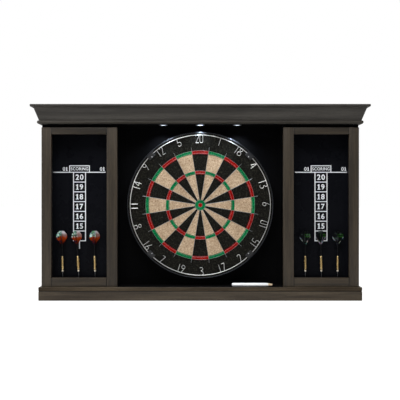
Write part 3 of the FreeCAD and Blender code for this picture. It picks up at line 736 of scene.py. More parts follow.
# ---- meshes ----------------------------------------------------------------------------
@dataclass
class Piece:
    """One visible piece: its name, body and slot, and how it is shaded."""

    name: str
    body: str
    slot: str
    replaces: tuple[str, ...] = ()
    smooth: float = 35.0

    def finish(self, edit: Edit, *coats: Finish | Material, merge: float = 1e-6) -> None:
        """Close the edit into an object that rides on its body.

        Args:
            edit: The shape, in its final place.
            coats: Finishes or ready materials, by slot index.
            merge: Distance under which vertices become one.
        """
        bmesh.ops.remove_doubles(edit, verts=edit.verts, dist=merge)
        bmesh.ops.recalc_face_normals(edit, faces=edit.faces)
        mesh = bpy.data.meshes.new(self.name)
        edit.to_mesh(mesh)
        edit.free()
        for polygon in mesh.polygons:
            polygon.use_smooth = True
        mesh.set_sharp_from_angle(angle=math.radians(self.smooth))
        for coat in coats:
            mesh.materials.append(coat.material() if isinstance(coat, Finish) else coat)
        piece = in_scene(self.name, mesh)
        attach(piece, self.body)
        if self.replaces:
            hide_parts(*self.replaces)
        LOG.info("%s: %d faces on %s", self.name, len(mesh.polygons), self.body)


def mesh_of(curve: bpy.types.Curve) -> bpy.types.Mesh:
    """Mesh of a curve or a text.

    Args:
        curve: The curve.

    Returns:
        The mesh that the curve is drawn as.
    """
    maker = in_scene(curve.name, curve)
    bpy.context.view_layer.update()
    mesh = bpy.data.meshes.new_from_object(maker.evaluated_get(bpy.context.evaluated_depsgraph_get()))
    bpy.data.objects.remove(maker)
    return mesh


def full_turn(edit: Edit, section: list[bmesh.types.BMVert | bmesh.types.BMEdge], steps: int) -> None:
    """Spin a section's vertices and edges about local Z into a closed ring."""
    bmesh.ops.spin(edit, geom=section, cent=(0, 0, 0), axis=(0, 0, 1), dvec=(0, 0, 0),
                   angle=math.tau, steps=steps, use_merge=True, use_duplicate=False)


def lathe(edit: Edit, profile: Iterable[tuple[float, float]], steps: int, place: Matrix) -> None:
    """Spin a profile about local Z into a closed shape.

    Args:
        edit: Mesh to add to.
        profile: (radius, height) points from one pole to the other.
        steps: Steps round the full turn.
        place: Matrix that puts the finished shape in place.
    """
    start = [edit.verts.new((radius, 0.0, height)) for radius, height in profile]
    edges = [edit.edges.new(pair) for pair in zip(start, start[1:])]
    before = set(edit.verts) - set(start)
    full_turn(edit, start + edges, steps)
    made = [vert for vert in edit.verts if vert not in before]
    bmesh.ops.remove_doubles(edit, verts=made, dist=1e-7)
    made = [vert for vert in edit.verts if vert not in before]
    bmesh.ops.transform(edit, matrix=place, verts=made)


def turned(piece: Piece, finish: Finish, profile: Points, steps: int, place: Matrix) -> None:
    """Make a piece by spinning a profile.

    Args:
        piece: The piece to make.
        finish: Its finish.
        profile: (radius, height) points from one pole to the other.
        steps: Steps round the full turn.
        place: Matrix that puts the finished shape in place.
    """
    edit = bmesh.new()
    lathe(edit, profile, steps, place)
    piece.finish(edit, finish)


def wire_hoop(edit: Edit, radius: float, wire: float, height: float, steps: int) -> None:
    """Round wire bent to a full circle in the local plane.

    Args:
        edit: Mesh to add to.
        radius: Radius of the wire's centre line.
        wire: Radius of the wire.
        height: Local z of the centre line.
        steps: Steps round the circle.
    """
    stand = Matrix.Translation((radius, 0, height)) @ Matrix.Rotation(math.radians(90), 4, "X")
    section = bmesh.ops.create_circle(edit, cap_ends=False, segments=WIRE_SIDES, radius=wire,
                                      matrix=stand)["verts"]
    edges = list({edge for vert in section for edge in vert.link_edges})
    full_turn(edit, section + edges, steps)


def rod(edit: Edit, start: Vector, end: Vector, radius: float) -> None:
    """Round rod between two points.

    Args:
        edit: Mesh to add to.
        start: First end.
        end: Second end.
        radius: Radius of the rod.
    """
    along = end - start
    place = Matrix.Translation((start + end) / 2) @ along.to_track_quat("Z", "Y").to_matrix().to_4x4()
    bmesh.ops.create_cone(edit, cap_ends=True, cap_tris=False, segments=WIRE_SIDES, radius1=radius,
                          radius2=radius, depth=along.length, matrix=place)


def block(edit: Edit, low: Corner, high: Corner, ease: float = 0.0) -> None:
    """Box between two corners, with eased edges.

    Args:
        edit: Mesh to add to.
        low: Lowest corner.
        high: Highest corner.
        ease: Radius of the eased edges.
    """
    size = Vector(high) - Vector(low)
    place = Matrix.Translation(Vector(low) + size / 2) @ Matrix.Diagonal((*size, 1.0))
    verts = bmesh.ops.create_cube(edit, size=1.0, matrix=place)["verts"]
    if ease > 0:
        edges = list({edge for vert in verts for edge in vert.link_edges})
        bmesh.ops.bevel(edit, geom=edges, offset=ease, offset_type="OFFSET", segments=3,
                        profile=0.5, affect="EDGES", material=-1)


def paint(finishes: dict[str, Finish]) -> None:
    """Give carried-over CAD nodes their materials.

    Args:
        finishes: The finish of each node.
    """
    for node, finish in finishes.items():
        piece = frame["nodes"][node]
        material = finish.material()
        if piece.material_slots:
            for slot in piece.material_slots:
                slot.material = material
        else:
            piece.data.materials.append(material)
        LOG.info("%s: CAD node in %s", node, finish.name)


# ---- the cabinet's joinery --------------------------------------------------------------
@dataclass
class Joinery:
    """Crown, base, sides and wing frames in stained wood, and the black and raw boards inside."""

    dark: Colour = tone(39, 33, 25)
    light: Colour = tone(65, 56, 44)
    base_dark: Colour = tone(47, 39, 30)
    base_light: Colour = tone(77, 67, 53)
    crown_dark: Colour = tone(41, 38, 34)
    crown_light: Colour = tone(63, 60, 55)
    # Colour scales of the top and bottom rails: painted shade darkens the top rail under the crown, and
    # painted light brightens the bottom rail.
    rail_shades: tuple[float, float] = (0.7, 1.12)
    top_rail: float = 21.0 * MM
    bottom_rail: float = 28.0 * MM
    ease: float = 1.2 * MM
    seam: float = 3.2 * MM
    paint_depth: float = 1.5 * MM
    bare_edge: float = 2.5 * MM
    paint_gloss: float = 0.06
    log_step: float = 0.37
    member_step: float = 0.61
    wing_step: float = 0.3
    panel_step: float = 0.9

    def mouldings(self) -> None:
        """Crown, top panel, bottom panel and plinth keep their CAD shape."""
        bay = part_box("back_panel")
        stile_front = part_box("left_wing_stiles")[0][1]
        for index, (node, grain, crown) in enumerate((
                ("crown_front", Axis.X, True), ("crown_returns", Axis.Y, True), ("top_panel", Axis.X, True),
                ("bottom_panel", Axis.X, False), ("plinth_front", Axis.X, False),
                ("plinth_returns", Axis.Y, False))):
            low, high = (tuple(corner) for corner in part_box(node))
            inside = None
            if node == "top_panel":
                inside = ((bay[0][0], stile_front, low[2] - 1), (bay[1][0], 1.0, low[2] + self.paint_depth))
            if node == "bottom_panel":
                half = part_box("right_divider")[0][0]
                inside = ((-half, low[1] + self.bare_edge, high[2] - self.paint_depth),
                          (half, 1.0, high[2] + 1))
            mirrored = node.endswith("returns")
            # Dark lines on both sides of the slab and plinth joint: painted shadow under the slab's overhang.
            seam = {"bottom_panel": low[2], "plinth_front": high[2], "plinth_returns": high[2]}.get(node)
            dark, light = (self.crown_dark, self.crown_light) if crown else (self.base_dark, self.base_light)
            finish = StainedWood(
                node + "_wood", dark, light, grain, (0.0, *low[1:]) if mirrored else low, high,
                self.log_step * index, inside, mirrored, () if seam is None else ((Axis.Z, seam),))
            paint({node: finish if inside is None else replace(finish, gloss=self.paint_gloss)})

    def board(self, name: str, low: Corner, high: Corner, grain: Axis, shift: float,
              replaces: tuple[str, ...] = ()) -> None:
        """One solid board with eased edges and its own run of grain.

        Args:
            name: Name of the piece.
            low: Lowest corner.
            high: Highest corner.
            grain: Direction of the grain.
            shift: Where in the log the board is cut.
            replaces: CAD nodes it stands for.
        """
        edit = bmesh.new()
        block(edit, low, high, self.ease)
        # Painted shade on the top rails and painted light on the bottom rails, by the rail scales above.
        tint = {"top": self.rail_shades[0], "bottom": self.rail_shades[1]}.get(name.split("_")[1], 1.0)
        ends = ((Axis.X, low[0]), (Axis.X, high[0])) if grain is Axis.X else ()
        Piece(name, "cabinet", "stained_wood", replaces).finish(edit, StainedWood(
            name + "_wood", scaled(self.dark, tint), scaled(self.light, tint), grain, low, high, shift,
            seams=ends, seam_width=self.seam))

    def wing_frame(self, side: Side) -> None:
        """Two stiles, two rails and the side panel of one wing.

        Args:
            side: Which wing.
        """
        word, sign = side.name.lower(), side.value
        stiles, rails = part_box(word + "_wing_stiles"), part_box(word + "_wing_rails")
        wide = sorted((abs(stiles[0][0]), abs(stiles[1][0])))
        gap = sorted((abs(rails[0][0]), abs(rails[1][0])))
        z = (stiles[0][2], stiles[1][2])
        members = {
            "inner_stile": ((wide[0], gap[0]), z, Axis.Z),
            "outer_stile": ((gap[1], wide[1]), z, Axis.Z),
            "top_rail": (gap, (z[1] - self.top_rail, z[1]), Axis.X),
            "bottom_rail": (gap, (z[0], z[0] + self.bottom_rail), Axis.X),
        }
        stands_for = {"inner_stile": (word + "_wing_stiles",), "top_rail": (word + "_wing_rails",)}
        for index, (member, (x, tall, grain)) in enumerate(members.items()):
            across = sorted(sign * value for value in x)
            low, high = ((across[end], stiles[end][1], tall[end]) for end in (0, 1))
            self.board(word + "_" + member, low, high, grain,
                       self.member_step * (index + 1) + self.wing_step * sign, stands_for.get(member, ()))
        low, high = (tuple(corner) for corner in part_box(word + "_side"))
        self.board(word + "_side_panel", low, high, Axis.Z, self.panel_step * sign, (word + "_side",))

    def inner_boards(self) -> None:
        """Black bay and ledges, shadow strips painted black as painted shade under the crown, and the raw
        wood behind.
        """
        low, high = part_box("back_panel")
        # The shadow strips sit in the gap under the crown; their black paint is painted shade for the dark
        # band there.
        black = ("left_divider", "right_divider", "shadow_strips", "dart_ledges")
        paint({
            "back_panel": BlackPaint("bay_black_and_bare_back", (low[1] + high[1]) / 2),
            **{node: BlackPaint(node + "_black") for node in black},
            "hanging_rails": RawWood("hanging_rail_wood"),
            "bracket_block": RawWood("bracket_block_wood"),
            "frame_dowels": RawWood("dowel_wood"),
            "scoreboard_battens": RawWood("batten_wood", grain=Axis.Z),
            "carcass_screws": ZINC,
        })

    def hole_plugs(self) -> None:
        """Push-in plugs with low domed heads over the four wall screws' holes."""
        mount = next(item for item in frame["record"]["mounts"] if item["name"] == "wall_screws")
        half_x, half_z = (mount["dims"][key] * MM / 2 for key in ("spacing_x_mm", "spacing_y_mm"))
        radius = mount["dims"]["hole_r_mm"] * MM
        front = -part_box("back_panel")[0][1]
        edit = bmesh.new()
        for x in (-half_x, half_x):
            for z in (-half_z, half_z):
                lathe(edit, [(0, front - 8.0 * MM), (radius * 0.9, front - 8.0 * MM), (radius * 0.96, front),
                             (4.6 * MM, front + 0.05 * MM), (4.5 * MM, front + 0.6 * MM),
                             (3.2 * MM, front + 1.3 * MM), (1.6 * MM, front + 1.6 * MM),
                             (0, front + 1.7 * MM)], 20, FACE_UP @ Matrix.Translation((x, z, 0)))
        Piece("screw_hole_plugs", "cabinet", "box_plastic").finish(edit, BlackPaint("plug_black"))

    def build(self) -> None:
        """Make the whole of the joinery."""
        self.mouldings()
        self.hole_plugs()
        for side in Side:
            self.wing_frame(side)
        self.inner_boards()


# ---- printed writing boards --------------------------------------------------------------
@cache
def character(mark: str, weight: float) -> bpy.types.Mesh:
    """One printed character, one unit thick above its plane.

    Args:
        mark: The character.
        weight: Extra thickness of its strokes.

    Returns:
        Its mesh; a 1 is built up from its own stem, flag and foot.
    """
    if mark == "1":
        edit = bmesh.new()
        block(edit, (0.0, 0.0, 0.0), (0.54, 0.12, 1.0))
        block(edit, (0.15, 0.12, 0.0), (0.39, 1.0, 1.0))
        block(edit, (0.0, 0.74, 0.0), (0.15, 0.86, 1.0))
        mesh = bpy.data.meshes.new("one")
        edit.to_mesh(mesh)
        edit.free()
        return mesh
    curve = bpy.data.curves.new("character", "FONT")
    curve.body = mark
    curve.offset = weight
    curve.extrude = 0.5
    mesh = mesh_of(curve)
    mesh.transform(Matrix.Translation((0.0, 0.0, 0.5)))
    return mesh


@dataclass
class ScoreBoard:
    """Writing board of one wing with its printed grid, numerals and heading."""

    side: Side
    centre: float = 381.0 * MM
    line: float = 2.7 * MM
    thick: float = 0.12 * MM
    column: float = 40.5 * MM
    pitch: float = 30.9 * MM
    rows: tuple[str, ...] = ("20", "19", "18", "17", "16", "15", "B")
    heading: str = "SCORING"
    head_size: tuple[float, float] = (65.0 * MM, 23.0 * MM)
    line_z: float = 103.6 * MM
    reach: float = 82.0 * MM
    head_letter: float = 9.6 * MM
    head_wide: float = 55.0 * MM
    numeral: float = 17.0 * MM
    numeral_wide: float = 27.0 * MM
    corner_number: float = 11.5 * MM
    corner_wide: float = 19.0 * MM
    corner_in: tuple[float, float] = (37.0 * MM, 10.0 * MM)
    corner_up: float = 9.0 * MM
    gap: float = 0.16
    bold: float = 0.022
    light: float = 0.012
    tail: float = 24.0 * MM

    def __post_init__(self) -> None:
        """Place the print on its wing, on the front face that the frame gives."""
        self.word = self.side.name.lower()
        self.middle = self.side.value * self.centre
        self.face = -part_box(self.word + "_scoreboard")[0][1]

    def bar(self, edit: Edit, x: tuple[float, float], z: tuple[float, float]) -> None:
        """One printed bar between two edges in X, from the board's middle, and two in Z."""
        front = -self.face - self.thick
        block(edit, (self.middle + x[0], front, z[0]), (self.middle + x[1], -self.face, z[1]))

    def grid(self, ink: Material) -> None:
        """Heading box, main line and the column of seven cells.

        Args:
            ink: Material of the print.
        """
        edit = bmesh.new()
        line, half = self.line, self.column / 2
        head_x, head_z = self.head_size[0] / 2, self.head_size[1]
        base = self.line_z - line / 2
        self.bar(edit, (-self.reach, self.reach), (base, base + line))
        top = base + head_z
        self.bar(edit, (-head_x, head_x), (top - line, top))
        foot = base - self.pitch * len(self.rows)
        for sign in (-1, 1):
            self.bar(edit, sorted((sign * head_x, sign * (head_x - line))), (base + line, top - line))
            self.bar(edit, sorted((sign * half, sign * (half - line))), (foot, base))
        for row in range(1, len(self.rows) + 1):
            low = base - self.pitch * row
            self.bar(edit, (-half + line, half - line), (low, low + line))
        self.bar(edit, (-line / 2, line / 2), (foot - self.tail, foot))
        Piece(self.word + "_print_grid", "cabinet", "writing_board").finish(edit, ink)

    def lettering(self, name: str, words: str, size: float, centre: tuple[float, float], wide: float,
                  weight: float, ink: Material) -> None:
        """Printed characters set side by side.

        Args:
            name: Name of the piece.
            words: What is printed.
            size: Height of the characters.
            centre: Middle of the word, from the board's middle and in Z.
            wide: Greatest width.
            weight: Extra thickness of the strokes.
            ink: Material of the print.
        """
        edit = bmesh.new()
        along = 0.0
        for mark in words:
            before = set(edit.verts)
            edit.from_mesh(character(mark, weight))
            verts = [vert for vert in edit.verts if vert not in before]
            xs, ys = [vert.co.x for vert in verts], [vert.co.y for vert in verts]
            scale = size / (max(ys) - min(ys))
            fit = Matrix.Diagonal((scale, scale, self.thick, 1.0))
            bmesh.ops.transform(edit, matrix=Matrix.Translation((along, 0, 0)) @ fit
                                @ Matrix.Translation((-min(xs), -min(ys), 0.0)), verts=verts)
            along += (max(xs) - min(xs)) * scale + self.gap * size
        along -= self.gap * size
        squeeze = Matrix.Diagonal((min(1.0, wide / along), 1.0, 1.0, 1.0))
        place = Matrix.Translation((self.middle + centre[0], -self.face, centre[1] - size / 2)) @ FACE_UP
        bmesh.ops.transform(edit, matrix=place @ squeeze @ Matrix.Translation((-along / 2, 0, 0)),
                            verts=edit.verts)
        Piece(name, "cabinet", "writing_board").finish(edit, ink, merge=1e-7)

    def build(self) -> None:
        """Dress the board and print it."""
        word = self.word
        paint({word + "_scoreboard": WritingBoard(word + "_writing_board")})
        ink = Ink("white_ink_" + word).material()
        self.grid(ink)
        base = self.line_z - self.line / 2
        self.lettering(word + "_print_heading", self.heading, self.head_letter,
                       (0.0, base + self.head_size[1] / 2 + self.line * 0.2), self.head_wide, self.light, ink)
        for index, mark in enumerate(self.rows):
            centre = base - self.pitch * (index + 0.5) + self.line / 2
            self.lettering(f"{word}_print_row_{mark}", mark, self.numeral, (0.0, centre), self.numeral_wide,
                           self.bold, ink)
        height = self.line_z + self.line / 2 + self.corner_up
        for index, x in enumerate((-self.reach + self.corner_in[0], self.reach - self.corner_in[1])):
            self.lettering(f"{word}_print_corner_{index + 1}", "01", self.corner_number, (x, height),
                           self.corner_wide, self.light, ink)


# ---- dart board --------------------------------------------------------------------------
@dataclass
class Board:
    """Sisal board with its band, scoring wires, number ring, clips and fixings."""

    bull: float = 6.35 * MM
    spread: float = 1.2 * MM
    bed_steps: tuple[float, float, float] = (57.0 * MM, 134.0 * MM, 198.0 * MM)
    rim_ease: float = 0.8 * MM
    outer_bull: float = 15.9 * MM
    treble: tuple[float, float] = (99.0 * MM, 107.0 * MM)
    double: tuple[float, float] = (162.0 * MM, 170.0 * MM)
    reach: float = 182.0 * MM
    wire: float = 0.38 * MM
    hoop_wire: float = 0.24 * MM
    ring_radius: float = 218.5 * MM
    ring_wire: float = 0.85 * MM
    facets: int = 9
    bead: float = 0.9 * MM
    inner_bead: float = 0.6 * MM
    lip: float = 3.2 * MM
    roll: float = 1.6 * MM
    sheet: float = 1.4 * MM
    clip_circle: float = 212.5 * MM
    pin: float = 1.9 * MM

    def __post_init__(self) -> None:
        """Read the board's face and rim from the frame."""
        low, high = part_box("sisal_face")
        self.face, self.back, self.rim = -low[1], -high[1], high[0]
        self.dyed_bull = self.outer_bull + self.spread
        self.dyed_treble = (self.treble[0] - 2 * self.spread, self.treble[1] + self.spread / 2)
        self.dyed_double = (self.double[0] - 2 * self.spread, self.double[1] + self.spread / 2)

    @staticmethod
    def dyes() -> list[Finish]:
        """Finishes in the order black, cream, red, green."""
        return [
            Sisal("sisal_black", tone(20, 20, 17), tone(54, 52, 44), tone(7, 7, 6)),
            Sisal("sisal_cream", tone(182, 158, 130), tone(216, 196, 170), tone(112, 86, 60)),
            Sisal("sisal_red", tone(142, 14, 12), tone(190, 60, 48), tone(84, 4, 6)),
            Sisal("sisal_green", tone(2, 108, 58), tone(48, 146, 94), tone(0, 60, 30)),
        ]

    def dye_at(self, centre: Vector) -> int:
        """Dye of the bed under a point of the local plane.

        Args:
            centre: The point.

        Returns:
            0 black, 1 cream, 2 red or 3 green.
        """
        radius = math.hypot(centre.x, centre.y)
        clockwise = math.degrees(math.atan2(centre.x, centre.y)) + 180.0 / SECTORS
        even = int(clockwise // (360.0 / SECTORS)) % 2 == 0
        if radius < self.bull:
            return 2
        if radius < self.dyed_bull:
            return 3
        if radius > self.dyed_double[1]:
            return 0
        if self.dyed_treble[0] < radius < self.dyed_treble[1] or self.dyed_double[0] < radius:
            return 2 if even else 3
        return 0 if even else 1

    def beds(self) -> None:
        """The dyed face, grown ring by ring from the bull."""
        edit = bmesh.new()
        around = SECTORS * self.facets
        turn = Matrix.Translation((0, 0, self.face)) @ Matrix.Rotation(math.radians(180.0 / SECTORS), 4, "Z")
        bmesh.ops.create_circle(edit, cap_ends=True, segments=around, radius=self.bull, matrix=turn)
        radius = self.bull
        inner, middle, outer = self.bed_steps
        for after in (self.dyed_bull, inner, *self.dyed_treble, middle, *self.dyed_double, outer,
                      self.rim - self.rim_ease):
            radius = self.grow(edit, radius, after, self.face)
        radius = self.grow(edit, radius, self.rim, self.face - self.rim_ease)
        self.grow(edit, radius, self.rim, self.back)
        for face in edit.faces:
            face.material_index = self.dye_at(face.calc_center_median())
        outline = [edge for edge in edit.edges if edge.is_boundary]
        bmesh.ops.edgeloop_fill(edit, edges=outline)
        bmesh.ops.transform(edit, matrix=FACE_UP, verts=edit.verts)
        Piece("sisal_beds", "dartboard", "sisal", ("sisal_face",)).finish(edit, *self.dyes())

    @staticmethod
    def grow(edit: Edit, radius: float, after: float, height: float) -> float:
        """Extrude the open outline to a new radius and height.

        Args:
            edit: The mesh.
            radius: Present radius of the outline.
            after: New radius.
            height: New local z.

        Returns:
            The new radius.
        """
        outline = [edge for edge in edit.edges if edge.is_boundary]
        made = bmesh.ops.extrude_edge_only(edit, edges=outline)["geom"]
        verts = [item for item in made if isinstance(item, bmesh.types.BMVert)]
        bmesh.ops.scale(edit, vec=(after / radius, after / radius, 1.0), verts=verts)
        bmesh.ops.translate(edit, vec=(0, 0, height - verts[0].co.z), verts=verts)
        return after

    def scoring_wires(self) -> None:
        """Six hoops and twenty straight radial wires, laid on the face."""
        edit = bmesh.new()
        height = self.face + self.wire * 0.7
        for radius in (self.bull, self.outer_bull, *self.treble, *self.double):
            wire_hoop(edit, radius, self.hoop_wire, height, 40 if radius < 0.03 else 180)
        for sector in range(SECTORS):
            angle = math.radians(90.0 - (sector + 0.5) * 360.0 / SECTORS)
            out = Vector((math.cos(angle), math.sin(angle), 0.0))
            lift = Vector((0, 0, height))
            rod(edit, out * self.outer_bull + lift, out * self.reach + lift, self.wire)
        bmesh.ops.transform(edit, matrix=FACE_UP, verts=edit.verts)
        Piece("scoring_wires", "dartboard", "score_wire", ("spider",)).finish(edit, STEEL_WIRE)

    def band(self) -> None:
        """Steel band whose front edge is rolled over the sisal."""
        low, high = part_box("steel_band")
        front, back, outer = -low[1], -high[1], high[0]
        profile = [(outer, back)]
        for middle, bead in ((outer - self.bead, self.bead),
                             (outer - self.lip + self.inner_bead, self.inner_bead)):
            for step in range(0, 181, 20):
                angle = math.radians(step)
                profile.append((middle + bead * math.cos(angle), front - bead + bead * math.sin(angle)))
        profile += [(outer - self.lip, front - self.roll), (outer - self.sheet, front - self.roll),
                    (outer - self.sheet, back)]
        edit = bmesh.new()
        start = [edit.verts.new((radius, 0.0, height)) for radius, height in profile]
        edges = [edit.edges.new(pair) for pair in zip(start, start[1:] + start[:1])]
        full_turn(edit, start + edges, 240)
        bmesh.ops.transform(edit, matrix=FACE_UP, verts=edit.verts)
        Piece("rolled_band", "dartboard", "band_steel", ("steel_band",)).finish(
            edit, Metal("band_dark_steel", tone(62, 64, 68), tone(40, 41, 44), 0.4))

    def trims(self) -> None:
        """Backing, clips with their bright pins, feet, bracket and screws."""
        paint({
            "backing_disc": RawWood("backing_board", tone(150, 118, 84), tone(110, 82, 54)),
            "ring_clips": BLACK_PLASTIC,
            "board_feet": Plastic("foot_rubber", tone(24, 24, 24), 0.75),
            "board_bracket": Enamel("bracket_powder_coat", tone(18, 18, 18), 0.5, 0.4),
            "bracket_screws": ZINC,
            "hanger_screw": ZINC,
        })
        edit = bmesh.new()
        front = -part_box("ring_clips")[0][1]
        for quarter in range(4):
            angle = math.radians(45.0 + 90.0 * quarter)
            spot = Matrix.Translation((self.clip_circle * math.cos(angle), self.clip_circle * math.sin(angle),
                                       front - 0.1 * MM))
            bmesh.ops.create_uvsphere(edit, u_segments=14, v_segments=8, radius=self.pin,
                                      matrix=spot @ Matrix.Diagonal((1, 1, 0.35, 1)))
        bmesh.ops.transform(edit, matrix=FACE_UP, verts=edit.verts)
        Piece("clip_pins", "dartboard", "score_wire").finish(edit, ZINC)

    def build(self) -> None:
        """Make the whole board."""
        self.beds()
        self.band()
        self.scoring_wires()
        self.trims()
        NumberRing(self).build()


SHARP = math.radians(50.0)


@dataclass
class NumberRing:
    """Bent-wire numerals welded to a wire hoop."""

    board: Board
    tall: float = 24.0 * MM
    wide: float = 9.4 * MM
    step: float = 13.0 * MM
    settle: float = 0.9
    thin: float = 0.62 * MM
    arc_step: float = 18.0

    def path(self, digit: int) -> list[Points]:
        """Wire paths of a numeral, each a run of points.

        Args:
            digit: 0 to 9.

        Returns:
            Runs of (u, v) points, u across from the middle and v up from the foot.
        """
        r, top = self.wide / 2, self.tall
        arc = self.arc
        loops = {
            0: [arc(0, top - r, r, 0, 180) + arc(0, r, r, 180, 360) + [(r, top - r)]],
            1: [[(0, 0), (0, top)]],
            2: [arc(0, top - r, r, 165, -35) + [(-r, 0), (r, 0)]],
            3: [arc(0, top - r, r, 150, -90) + arc(0, r * 1.3, r * 1.3, 90, -140)],
            4: [[(r * 0.7, 0), (r * 0.7, top), (-r * 1.2, r * 1.6), (r * 1.3, r * 1.6)]],
            5: [[(r, top), (-r * 0.75, top), (-r * 0.85, top * 0.55)] + arc(0, r * 1.3, r * 1.3, 130, -140)],
            6: [[(r * 0.5, top)] + arc(0, r * 1.15, r * 1.1, 165, 540)],
            7: [[(-r, top), (r, top), (-r * 0.35, 0)]],
            8: [arc(0, top - r, r * 0.95, -90, 270), arc(0, r * 1.3, r * 1.25, 90, 450)],
            9: [[(-r * 0.5, 0)] + arc(0, top - r * 1.15, r * 1.1, -15, 360)],
        }
        return loops[digit]

    def arc(self, u: float, v: float, radius: float, start: float, end: float) -> Points:
        """Points of an arc.

        Args:
            u: Centre across.
            v: Centre up.
            radius: Its radius.
            start: First angle in degrees.
            end: Last angle in degrees.

        Returns:
            The points, both ends included.
        """
        count = max(2, round(abs(end - start) / self.arc_step))
        angles = [math.radians(start + (end - start) * index / count) for index in range(count + 1)]
        return [(u + radius * math.cos(angle), v + radius * math.sin(angle)) for angle in angles]

    @staticmethod
    def straight_runs(paths: list[Points]) -> list[Points]:
        """Cut wire paths at their sharp corners, where a bent wire would pinch.

        Args:
            paths: Runs of points.

        Returns:
            Runs with no sharp corner.
        """
        runs = []
        for path in paths:
            run = path[:2]
            for before, here, after in zip(path, path[1:], path[2:]):
                first = Vector(here) - Vector(before)
                second = Vector(after) - Vector(here)
                if first.angle(second, 0.0) > SHARP:
                    runs.append(run)
                    run = [here]
                run.append(after)
            runs.append(run)
        return runs

    def numeral_curve(self, curve: bpy.types.Curve, number: int, index: int, height: float) -> None:
        """Add one sector's numerals to the curve.

        Args:
            curve: Curve to add to.
            number: The sector's number.
            index: Its place, clockwise from the top.
            height: Local z of the wire.
        """
        angle = math.radians(90.0 + self.settle - index * 360.0 / SECTORS)
        radial = Vector((math.cos(angle), math.sin(angle)))
        across = Vector((math.sin(angle), -math.cos(angle)))
        upright = radial.y > -0.01
        up, right = (radial, across) if upright else (-radial, -across)
        ring = self.board.ring_radius
        foot = radial * (ring - self.tall if upright else ring)
        digits = [int(mark) for mark in str(number)]
        for place, digit in enumerate(digits):
            shift = (place - (len(digits) - 1) / 2) * self.step
            for run in self.straight_runs(self.path(digit)):
                spline = curve.splines.new("POLY")
                spline.points.add(len(run) - 1)
                for point, (u, v) in zip(spline.points, run):
                    spot = foot + right * (u + shift) + up * v
                    point.co = (spot.x, spot.y, height, 1.0)

    def build(self) -> None:
        """Bend the numerals and the hoop, and make them one piece."""
        height = self.board.face + 0.3 * MM + self.board.ring_wire
        curve = bpy.data.curves.new("numerals", "CURVE")
        curve.dimensions = "3D"
        curve.bevel_depth = self.thin
        curve.bevel_resolution = 2
        curve.use_fill_caps = True
        for index, number in enumerate(NUMBERS):
            self.numeral_curve(curve, number, index, height)
        edit = bmesh.new()
        edit.from_mesh(mesh_of(curve))
        wire_hoop(edit, self.board.ring_radius, self.board.ring_wire, height, 200)
        bmesh.ops.transform(edit, matrix=FACE_UP, verts=edit.verts)
        Piece("number_wires", "number_ring", "score_wire", ("number_ring",)).finish(
            edit, Metal("number_wire", tone(236, 236, 234), tone(196, 196, 196), 0.3), merge=1e-7)


# ---- lights ------------------------------------------------------------------------------
@dataclass
class BayLights:
    """Three recessed lights, their leads and the battery box on the top panel."""

    spacing: float = 115.0 * MM
    power: float = 1.2
    side_power: float = 2.2
    lens_glow: float = 2.2
    colour: Colour = (0.74, 0.85, 1.0)
    spread: float = math.radians(120.0)
    tilt: float = math.radians(12.0)
    drop: float = 2.0 * MM

    def build(self) -> None:
        """Dress the lights, their leads and the battery box, and set a small lamp under each lens."""
        low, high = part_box("light_lenses")
        y = (low[1] + high[1]) / 2
        radius = (high[1] - low[1]) / 2
        spots = tuple((step * self.spacing, y, low[2]) for step in (-1, 0, 1))
        first, last = (corner[0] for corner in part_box("batteries"))
        paint({
            "light_housings": Enamel("housing_satin_black", tone(30, 30, 32), 0.35),
            "light_lenses": GlowingLens("lit_lens", spots, radius, self.lens_glow),
            "light_circuit_boards": Plastic("solder_mask", tone(30, 92, 52), 0.35),
            "light_wires": Plastic("lead_sheath", tone(196, 196, 190), 0.5),
            "battery_box": BLACK_PLASTIC,
            "battery_lid": Plastic("lid_plastic", tone(28, 28, 30), 0.4),
            "switch_slider": Plastic("switch_plastic", tone(206, 206, 200), 0.4),
            "battery_contacts": ZINC,
            "batteries": CellJacket("cell_sleeve", (first + last) / 2, (last - first) / 2),
        })
        for index, spot in enumerate(spots):
            lamp = bpy.data.lights.new(f"bay_lamp_{index + 1}", "SPOT")
            lamp.energy = self.power if spot[0] == 0 else self.side_power
            lamp.color = self.colour
            lamp.spot_size = self.spread
            lamp.spot_blend = 0.9
            lamp.shadow_soft_size = 8.0 * MM
            holder = in_scene(lamp.name, lamp)
            holder.location = (spot[0], spot[1], spot[2] - self.drop)
            holder.rotation_euler = (self.tilt, 0.0, 0.0)


# ---- darts -------------------------------------------------------------------------------
# Degrees that each dart leans to its right, and is turned about its own axis.
DART_STANDS = ((-1.7, 8.0), (-3.0, -14.0), (-0.9, 20.0), (-0.3, -10.0), (-0.9, 16.0), (0.3, -6.0))


